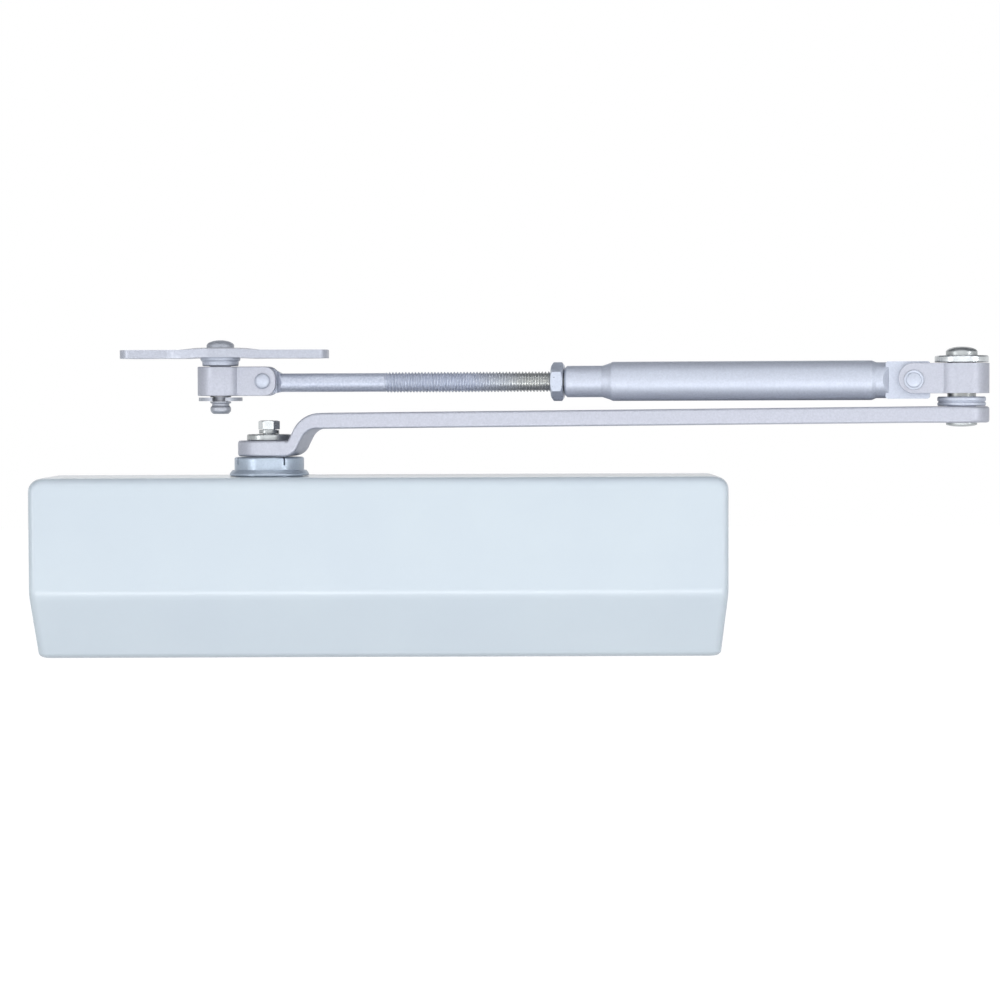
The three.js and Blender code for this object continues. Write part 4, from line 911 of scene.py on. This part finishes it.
def elbow_rings():
    """The spacer with its groove, and the washer under the pin's head."""
    lo, hi = low("elbow_bush").z, high("elbow_bush").z
    radius = (high("elbow_bush").x - low("elbow_bush").x) / 2
    groove = lo + (hi - lo) * 0.45
    bush = lathe("elbow_bush_detail", filleted([
        (PIN_HOLE, lo), (radius - 0.3, lo, 0.3), (radius, lo + 0.5, 0.4), (radius, groove - 0.45, 0.35),
        (radius - 0.5, groove, 0.15), (radius, groove + 0.45, 0.35), (radius, hi - 0.5, 0.4),
        (radius - 0.4, hi, 0.3), (PIN_HOLE, hi)]), 96, ON_ELBOW)
    shown(bush, "elbow_bush", SMOOTH_PAINT)
    washer("elbow_washer", PIN_HOLE, 0.3, 0.7, ZINC, ON_ELBOW)


STRAP_HALF = 5.6  # half a strap's height
RIVET_HOLE = 2.4
ELBOW_RIVET, SHOE_RIVET = 17.6, 17.4  # from the pins' axes


def strap(name, radius, thickness, spread, fillet, rivet_place, tail, corner, matrix):
    """Strip bent round a pin into a keyhole, its plates pointing along the frame's +X."""
    outer = spread / 2
    inner, hollow = outer - thickness, radius - thickness
    end = rivet_place.x + tail
    fx = sqrt((radius + fillet) ** 2 - (outer + fillet) ** 2)
    fy = outer + fillet
    touch = degrees(atan2(fy, fx))
    mouth = degrees(asin(inner / hollow))
    plan = [(end, outer)] + arc(fx, fy, fillet, -90, touch - 180, 10)
    plan += arc(0, 0, radius, touch, 360 - touch, 4)[1:-1]
    plan += arc(fx, -fy, fillet, 180 - touch, 90, 10) + [(end, -outer), (end, -inner)]
    plan += arc(0, 0, hollow, 360 - mouth, mouth, 4) + [(end, inner)]
    side = [(-radius - 1, STRAP_HALF), (-radius - 1, -STRAP_HALF)]
    side += arc(end - corner, corner - STRAP_HALF, corner, -90, 0, 5)
    side += arc(end - corner, STRAP_HALF - corner, corner, 0, 90, 5)
    bent = prism(name + "_detail", plan, -STRAP_HALF - 1, STRAP_HALF + 1, matrix)
    bent = shared(bent, prism("side", side, -radius - 1, radius + 1, matrix, "Y"))
    place = matrix @ moved(*rivet_place)
    hole = cylinder("hole", RIVET_HOLE, -spread, spread, 48, place, "Y")
    bent = softened(cut(bent, hole), 0.32)
    shown(bent, name, PAINT)


def rivet(name, radius, spread, head, matrix):
    face = spread / 2 + GAP
    upper = [(r, face + y) for r, y in head]
    lower = [(r, -face - y) for r, y in head][::-1]
    pin = lathe(name + "_detail", lower + [(radius, -face), (radius, face)] + upper, 64, matrix, "Y")
    shown(pin, name, SMOOTH_PAINT)


def knuckles():
    """The two straps, each with its rivet; the elbow's rivet has a ring round its dome."""
    elbow_rivet = Vector((ELBOW_RIVET, 0, FOREARM_Z - STRAP_Z))
    shoe_rivet = Vector((SHOE_RIVET, 0, 0))
    strap("elbow_strap", radius=10.2, thickness=2.5, spread=15, fillet=1.6,
          rivet_place=elbow_rivet, tail=5.6, corner=5.59, matrix=ON_ELBOW_STRAP)
    strap("shoe_strap", radius=8.8, thickness=2.2, spread=8.6, fillet=0.8,
          rivet_place=shoe_rivet, tail=5.0, corner=4.2, matrix=ON_SHOE_STRAP)
    head = filleted([(3.65, 0), (3.65, 0.8, 0.25), (3.05, 0.8, 0.05), (2.8, 0.75)])
    head += dome(2.8, 0.75, 0.75, 0.12, 8)[1:]
    rivet("elbow_rivet", 2.28, 15, head, ON_ELBOW_STRAP @ moved(*elbow_rivet))
    rivet("shoe_rivet", 2.2, 8.6, dome(3, 1.5, 0, 0.25, 8), ON_SHOE_STRAP @ moved(*shoe_rivet))


# ---------- forearm

# Along the forearm everything is measured from the shoe's pin.
TUBE_START = 133.8
TUBE_RADIUS = 7.4
TUBE_BORE, TUBE_HOLLOW = 4.2, 5.6
NECK_RADIUS = 5.95
NECK_END = 147.9
SHOULDER_END = 151.8
END_NECK = 248.9
END_NECK_RADIUS = 6.7
TONGUE_START = 255.2
TONGUE_SLOPE = 2.2
TONGUE_END = 270.4
TONGUE_HALF, TONGUE_RISE = 4.75, 6.95  # half its thickness and height
CLEAR = 9.0  # outside everything on the forearm


def forearm_tube():
    tube = lathe("forearm_tube_detail", filleted([
        (TUBE_BORE, TUBE_START), (NECK_RADIUS - 0.75, TUBE_START, 0.1),
        (NECK_RADIUS, TUBE_START + 0.75, 0.3), (NECK_RADIUS, NECK_END, 1.2),
        (TUBE_RADIUS - 0.5, SHOULDER_END - 1, 1.5), (TUBE_RADIUS, SHOULDER_END, 2.0),
        (TUBE_RADIUS, END_NECK, 0.8), (END_NECK_RADIUS, END_NECK + 1.6, 0.8),
        (END_NECK_RADIUS, TONGUE_START), (0, TONGUE_START), (0, END_NECK - 2),
        (TUBE_HOLLOW, END_NECK - 4), (TUBE_HOLLOW, SHOULDER_END), (TUBE_BORE, NECK_END)]),
        96, ON_FOREARM, "X")
    slope = TONGUE_START - TONGUE_SLOPE
    flanks = prism("flanks", [
        (0, -CLEAR), (slope, -CLEAR), (slope, -END_NECK_RADIUS), (TONGUE_START, -TONGUE_HALF),
        (TONGUE_START, TONGUE_HALF), (slope, END_NECK_RADIUS), (slope, CLEAR), (0, CLEAR)],
        -CLEAR, CLEAR, ON_FOREARM)
    side = rectangle(TONGUE_START - 1.2, -TONGUE_RISE, TONGUE_END, TONGUE_RISE, 1.0)
    tongue = prism("tongue", side, -TONGUE_HALF, TONGUE_HALF, ON_FOREARM, "Y")
    place = ON_FOREARM @ moved(FOREARM_LENGTH - ELBOW_RIVET, 0, 0)
    hole = cylinder("hole", 2.6, -6, 6, 48, place, "Y")
    whole = cut(joined(shared(tube, flanks), tongue), hole)
    shown(softened(whole, 0.35, 38), "forearm_tube", SMOOTH_PAINT)


PITCH = 1.25
THREAD_START = 64.0
ROD_END = 175.0
ROD_RADIUS = 3.56
THREAD_RADIUS = 3.88
THREAD_DEPTH = 0.62
THREAD_SIDES, THREAD_STEPS = 48, 10  # around, and along one pitch
CREST, FLANK = 0.12, 0.74  # shares of half a pitch
RUN_OUT = 1.6  # pitches
TIP_RADIUS = 2.9
BAR_START = 18.0
EYE_RADIUS, EYE_HALF = 4.7, 1.85  # EYE_HALF is half its thickness


def threaded_part():
    """A real helical thread, run out where it starts and chamfered at its end."""
    rows = []
    count = int((ROD_END - THREAD_START) / PITCH * THREAD_STEPS)
    for i in range(count + 1):
        x = THREAD_START + (ROD_END - THREAD_START) * i / count
        row = []
        for k in range(THREAD_SIDES):
            turn = k / THREAD_SIDES
            phase = ((x - THREAD_START) / PITCH - turn) % 1.0
            ridge = min(1.0, max(0.0, (abs(phase - 0.5) * 2 - CREST) / FLANK))
            start = min(1.0, (x - THREAD_START) / (RUN_OUT * PITCH))
            radius = ROD_RADIUS + (THREAD_RADIUS - THREAD_DEPTH * ridge - ROD_RADIUS) * start
            radius = min(radius, TIP_RADIUS + ROD_END - x)
            angle = 2 * pi * turn
            row.append((x, radius * cos(angle), radius * sin(angle)))
        rows.append(row)
    return grid("thread", rows, ON_FOREARM, closed=True)


def adjusting_rod():
    bar = cylinder("adjusting_rod_detail", ROD_RADIUS, BAR_START, THREAD_START + 0.02, 48,
                   ON_FOREARM, "X")
    up = STRAP_Z - FOREARM_Z
    eye = arc(SHOE_RIVET, up, EYE_RADIUS, 90, 270)
    eye += [(21, up - EYE_RADIUS), (24, -3.5), (24, 3.5), (21, up + EYE_RADIUS)]
    flat = prism("flat", eye, -3.6, 3.6, ON_FOREARM, "Y")
    faces = prism("faces", [
        (0, -EYE_HALF), (22.6, -EYE_HALF), (25.6, -4.2), (ROD_END, -4.2), (ROD_END, 4.2), (25.6, 4.2),
        (22.6, EYE_HALF), (0, EYE_HALF)], -6, 6, ON_FOREARM)
    hole = cylinder("hole", RIVET_HOLE, -6, 6, 48, ON_SHOE_STRAP @ moved(SHOE_RIVET, 0, 0), "Y")
    whole = softened(cut(shared(joined(bar, flat), faces), hole), 0.4, 30)
    whole = joined(whole, threaded_part())
    shown(whole, "adjusting_rod", ROD, 60)


NUT_HALF = 2.35  # half its thickness
NUT_FLATS = 12.7
NUT_BORE = 4.05
NUT_CORNER, NUT_FACE, NUT_CHAMFER = 7.5, 6.2, 0.9


def lock_nut():
    along = (joint_point("lock_nut_turn").xy - SHOE).length
    place = ON_FOREARM @ moved(along, 0, 0)
    half = NUT_HALF
    nut = prism("lock_nut_detail", ngon(6, NUT_FLATS / sqrt(3), 30), -half, half, place, "X")
    trim = lathe("trim", [
        (0, -half), (NUT_FACE, -half), (NUT_CORNER, NUT_CHAMFER - half),
        (NUT_CORNER, half - NUT_CHAMFER), (NUT_FACE, half), (0, half)], 96, place, "X")
    bore = cylinder("bore", NUT_BORE, -half - PAST, half + PAST, 64, place, "X")
    bell = [lathe("bell", [(0, s * (half + 0.1)), (4.7, s * (half + 0.1)), (4.0, s * (half - 0.6)),
                           (0, s * (half - 0.6))], 64, place, "X") for s in (-1, 1)]
    nut = softened(cut(shared(nut, trim), bore, *bell), 0.12)
    shown(nut, "lock_nut", NUT_PAINT)


# ---------- shoe

SHOE_OFFSET = 1.7  # of the ears to the right
SHOE_RAISE = 0.8  # of the plate's middle
CONE_FOOT, CONE_TOP = 17.0, 10.0
SHOE_HOLE = 4.12
EAR_HOLE, EAR_SINK, SINK_DEPTH = 2.75, 5.5, 2.2
EAR_REACH = 32.0


def shoe_outline():
    """Two rounded ears that run into a round middle."""
    half, corner = 9.0, 5.0
    centre, fillet, root = 14.5, 4.0, 20.6
    place = (root, half + fillet)
    lift = degrees(atan2(place[1], place[0]))
    flank = lift + degrees(acos((centre + fillet) / hypot(*place)))
    reach = (high("shoe_plate").x - low("shoe_plate").x) / 2

    def quarter(side):
        return (arc(reach + side * SHOE_OFFSET - corner, half - corner, corner, 0, 90)
                + arc(*place, fillet, -90, flank - 180) + arc(0, 0, centre, flank, 90, 4))

    right = quarter(1)
    left = [(-x, y) for x, y in quarter(-1)][::-1]
    upper = right + left[1:]
    return upper + [(x, -y) for x, y in upper][::-1]


def shoe_plate():
    top, bottom = high("shoe_plate").z - SHOE_RAISE, low("shoe_plate").z
    base, peak = bottom - PAST, top + 3
    outline = shoe_outline()
    cone = [(0, -PAST), (CONE_FOOT, -PAST), (CONE_FOOT, 0), (CONE_TOP, SHOE_RAISE), (0, SHOE_RAISE)]
    raised = shared(lathe("raised", [(r, top + z) for r, z in cone], 128, ON_SHOE),
                    prism("limit", outline, bottom, peak, ON_SHOE))
    plate = joined(prism("shoe_plate_detail", outline, bottom, top, ON_SHOE), raised)
    tools = [lathe("hollow", [(r, bottom + z) for r, z in cone], 128, ON_SHOE),
             cylinder("hole", SHOE_HOLE, base, peak, 64, ON_SHOE)]
    sink = [(0, base), (EAR_SINK, base), (EAR_SINK, bottom), (EAR_HOLE, bottom + SINK_DEPTH),
            (EAR_HOLE, top + PAST), (0, top + PAST)]
    for x in (SHOE_OFFSET - EAR_REACH, SHOE_OFFSET + EAR_REACH):
        tools.append(lathe("screw", sink, 64, ON_SHOE @ moved(x, 0, 0)))
    plate = softened(cut(plate, *tools), 0.55)
    shown(plate, "shoe_plate", SHOE_PAINT)


BUSH_STEP = 1.8  # height at which the spacer widens
SHOE_PIN, SHOE_PIN_GROOVE, SHOE_PIN_DOME = 4.0, 3.0, 5.3
RING_HOLE, RING_RADIUS = 3.12, 8.4
RING_RELIEF = 4.8


def shoe_stack():
    """The spacer, the pin with its groove and the retaining ring in it."""
    lo, hi = low("shoe_bush").z, high("shoe_bush").z
    step = lo + BUSH_STEP
    bush = lathe("shoe_bush_detail", filleted([
        (SHOE_HOLE, lo), (6.9, lo, 0.35), (7.0, lo + 0.9, 0.4), (7.0, step, 0.15), (7.3, step, 0.3),
        (7.65, step + 0.6, 0.4), (7.65, hi, 0.45), (SHOE_HOLE, hi)]), 96, ON_SHOE)
    shown(bush, "shoe_bush", SMOOTH_PAINT)

    ring_top, ring_bottom = high("retaining_ring").z, low("retaining_ring").z
    groove_top, groove_bottom = ring_top + GAP, ring_bottom - GAP
    collar_bottom = groove_bottom - 0.9
    end_top, base = collar_bottom - 0.7, low("shoe_pin").z
    head = high("shoe_plate").z + GAP
    profile = filleted([
        (0, base), (3.0, base, 0.9), (3.95, base + 1.1, 1.2), (3.95, end_top - 0.7, 0.7),
        (3.3, end_top, 0.2), (3.3, collar_bottom, 0.2), (SHOE_PIN, collar_bottom + 0.3, 0.3),
        (SHOE_PIN, groove_bottom), (SHOE_PIN_GROOVE, groove_bottom), (SHOE_PIN_GROOVE, groove_top),
        (SHOE_PIN, groove_top), (SHOE_PIN, head)])
    profile += dome(SHOE_PIN_DOME, high("shoe_pin").z - head, head, 0.8)
    pin = lathe("shoe_pin_detail", profile, 96, ON_SHOE)
    shown(pin, "shoe_pin", RING_PAINT)

    disc = lathe("retaining_ring_detail", [
        (RING_HOLE, ring_bottom), (RING_RADIUS, ring_bottom), (RING_RADIUS, ring_top),
        (RING_HOLE, ring_top)], 96, ON_SHOE)
    base, peak = ring_bottom - PAST, ring_top + PAST
    tools = [prism("mouth", rectangle(-2.5, -10, 2.5, 0), base, peak, ON_SHOE),
             prism("relief", arc(0, 0, RING_RELIEF, 199.5, 340.5, 6), base, peak, ON_SHOE)]
    for angle in (radians(145), radians(35)):
        place = ON_SHOE @ moved(RING_RELIEF * cos(angle), RING_RELIEF * sin(angle), 0) @ turned(45)
        tools.append(prism("lobe", rectangle(-1.5, -1.5, 1.5, 1.5, 0.5), base, peak, place))
    shown(softened(cut(disc, *tools), 0.2), "retaining_ring", RING_PAINT)


# ---------- carried-over CAD nodes

def kept_nodes():
    finishes = {
        "spindle": STEEL, "piston": STEEL, "piston_check_valve": BRONZE,
        "upper_spindle_bearing": BRONZE, "lower_spindle_bearing": BRONZE, "elbow_sleeve": BRONZE,
        "shoe_sleeve": BRONZE, "left_plug_seal": RUBBER, "right_plug_seal": RUBBER,
    }
    for name, finish in finishes.items():
        materials = NODES[name].data.materials
        materials.clear()
        materials.append(finish)


# ---------- stage

def sheet_of_stage(name, middle, z, size, colour):
    """A level rectangle that belongs to the studio."""
    x, y = size[0] / 2, size[1] / 2
    mesh = bpy.data.meshes.new(name)
    corners = [(middle.x + i * x, middle.y + j * y, z) for i, j in ((-1, -1), (1, -1), (1, 1), (-1, 1))]
    mesh.from_pydata(corners, [], [(0, 1, 2, 3)])
    made = placed(name, mesh)
    mesh.materials.append(Surface(name, colour, 0.9, 0.0, Specular_IOR_Level=0.0).material)
    return made


def seen_directly(tree):
    """1 for a ray from the camera, a reflection or a ray through glass, else 0."""
    rays = shader_node(tree, "LightPath").outputs
    found = rays["Is Camera Ray"]
    for kind in ("Is Glossy Ray", "Is Transmission Ray"):
        inputs = {0: found, 1: rays[kind]}
        found = shader_node(tree, "Math", inputs, operation="MAXIMUM").outputs[0]
    return found


# The stage is in metres, the lamps' directions in degrees and their powers in watts.
FLOOR_DROP = 0.22
FLOOR_WHITE = (0.9, 0.9, 0.9, 1)
CEILING_RISE = 0.9
WORLD_LIGHT = 0.36


def stage():
    """Pale floor below the object, pale ceiling above it, white world and rectangular lamps."""
    middle = (CAD_BOX[0] + CAD_BOX[1]) / 2
    floor = sheet_of_stage("floor", middle, CAD_BOX[0].z - FLOOR_DROP, (12, 12), linear(176, 177, 179))
    look = floor.data.materials[0].node_tree
    lit = look.nodes["Principled BSDF"].outputs[0]
    white = shader_node(look, "Emission", {"Color": FLOOR_WHITE, "Strength": seen_directly(look)})
    both = shader_node(look, "AddShader", {0: lit, 1: white.outputs[0]})
    look.links.new(both.outputs[0], look.nodes["Material Output"].inputs["Surface"])
    ceiling = sheet_of_stage("ceiling", middle + Vector((0, 0.3, 0)), middle.z + CEILING_RISE,
                             (5, 2.6), linear(235, 236, 240))
    ceiling.visible_camera = False

    world = bpy.data.worlds.new("studio")
    bpy.context.scene.world = world
    world.use_nodes = True
    tree = world.node_tree
    ground = tree.nodes["Background"]
    ground.inputs["Color"].default_value = (0.93, 0.96, 1.0, 1)
    ground.inputs["Strength"].default_value = WORLD_LIGHT
    seen = shader_node(tree, "Background", {"Color": (1, 1, 1, 1)})
    inputs = {0: seen_directly(tree), 1: ground.outputs[0], 2: seen.outputs[0]}
    both = shader_node(tree, "MixShader", inputs)
    tree.links.new(both.outputs[0], tree.nodes["World Output"].inputs["Surface"])

    lamp("key", middle, 0, 18, 1.6, (2.4, 1.5), 8.2)
    lamp("top", middle, 0, 70, 1.0, (1.2, 0.5), 8)
    lamp("left_side", middle, -54, 4, 1.6, (0.09, 0.8), 4.5)
    lamp("right_side", middle, 54, 4, 1.6, (0.09, 0.8), 4.5)
    lamp("low_strip", middle, 0, -20, 0.62, (0.9, 0.065), 1.7)
    lamp("rear", middle, 180, 40, 1.7, (1.4, 1.0), 5)


def lamp(name, middle, azimuth, elevation, distance, size, power):
    """A rectangular lamp that shines on the object from that direction."""
    a, e = radians(azimuth), radians(elevation)
    away = Vector((sin(a) * cos(e), -cos(a) * cos(e), sin(e)))
    data = bpy.data.lights.new(name, "AREA")
    data.shape = "RECTANGLE"
    data.size, data.size_y = size
    data.energy = power
    made = placed(name, data)
    made.location = middle + away * distance
    made.rotation_euler = away.to_track_quat("Z", "Y").to_euler()
    made.visible_camera = False


ELEVATION = radians(2.0)
ROLL = radians(0.2)
DISTANCE = 1.1
FOCAL_LENGTH = 102.85
AIM = Vector(((SPINDLE.x + 88.7) * MM, -0.025, 0.0248))


def camera():
    data = bpy.data.cameras.new("camera")
    data.sensor_width = 36
    data.lens = FOCAL_LENGTH
    data.clip_end = 50
    made = placed("camera", data)
    back = Vector((0, -cos(ELEVATION), sin(ELEVATION)))
    made.location = AIM + back * DISTANCE
    facing = (-back).to_track_quat("-Z", "Y").to_matrix().to_4x4()
    made.rotation_euler = (facing @ Matrix.Rotation(-ROLL, 4, "Z")).to_euler()
    bpy.context.scene.camera = made


camera()
stage()
kept_nodes()
cover_shell()
casting()
end_plug("left_end_plug", -1)
end_plug("right_end_plug", 1)
lower_cap()
valve("sweep_valve")
valve("latch_valve")
closing_spring()
collar()
main_arm()
spindle_screw()
elbow_pin()
elbow_rings()
knuckles()
forearm_tube()
adjusting_rod()
lock_nut()
shoe_plate()
shoe_stack()
bpy.context.scene.view_settings.view_transform = "Standard"
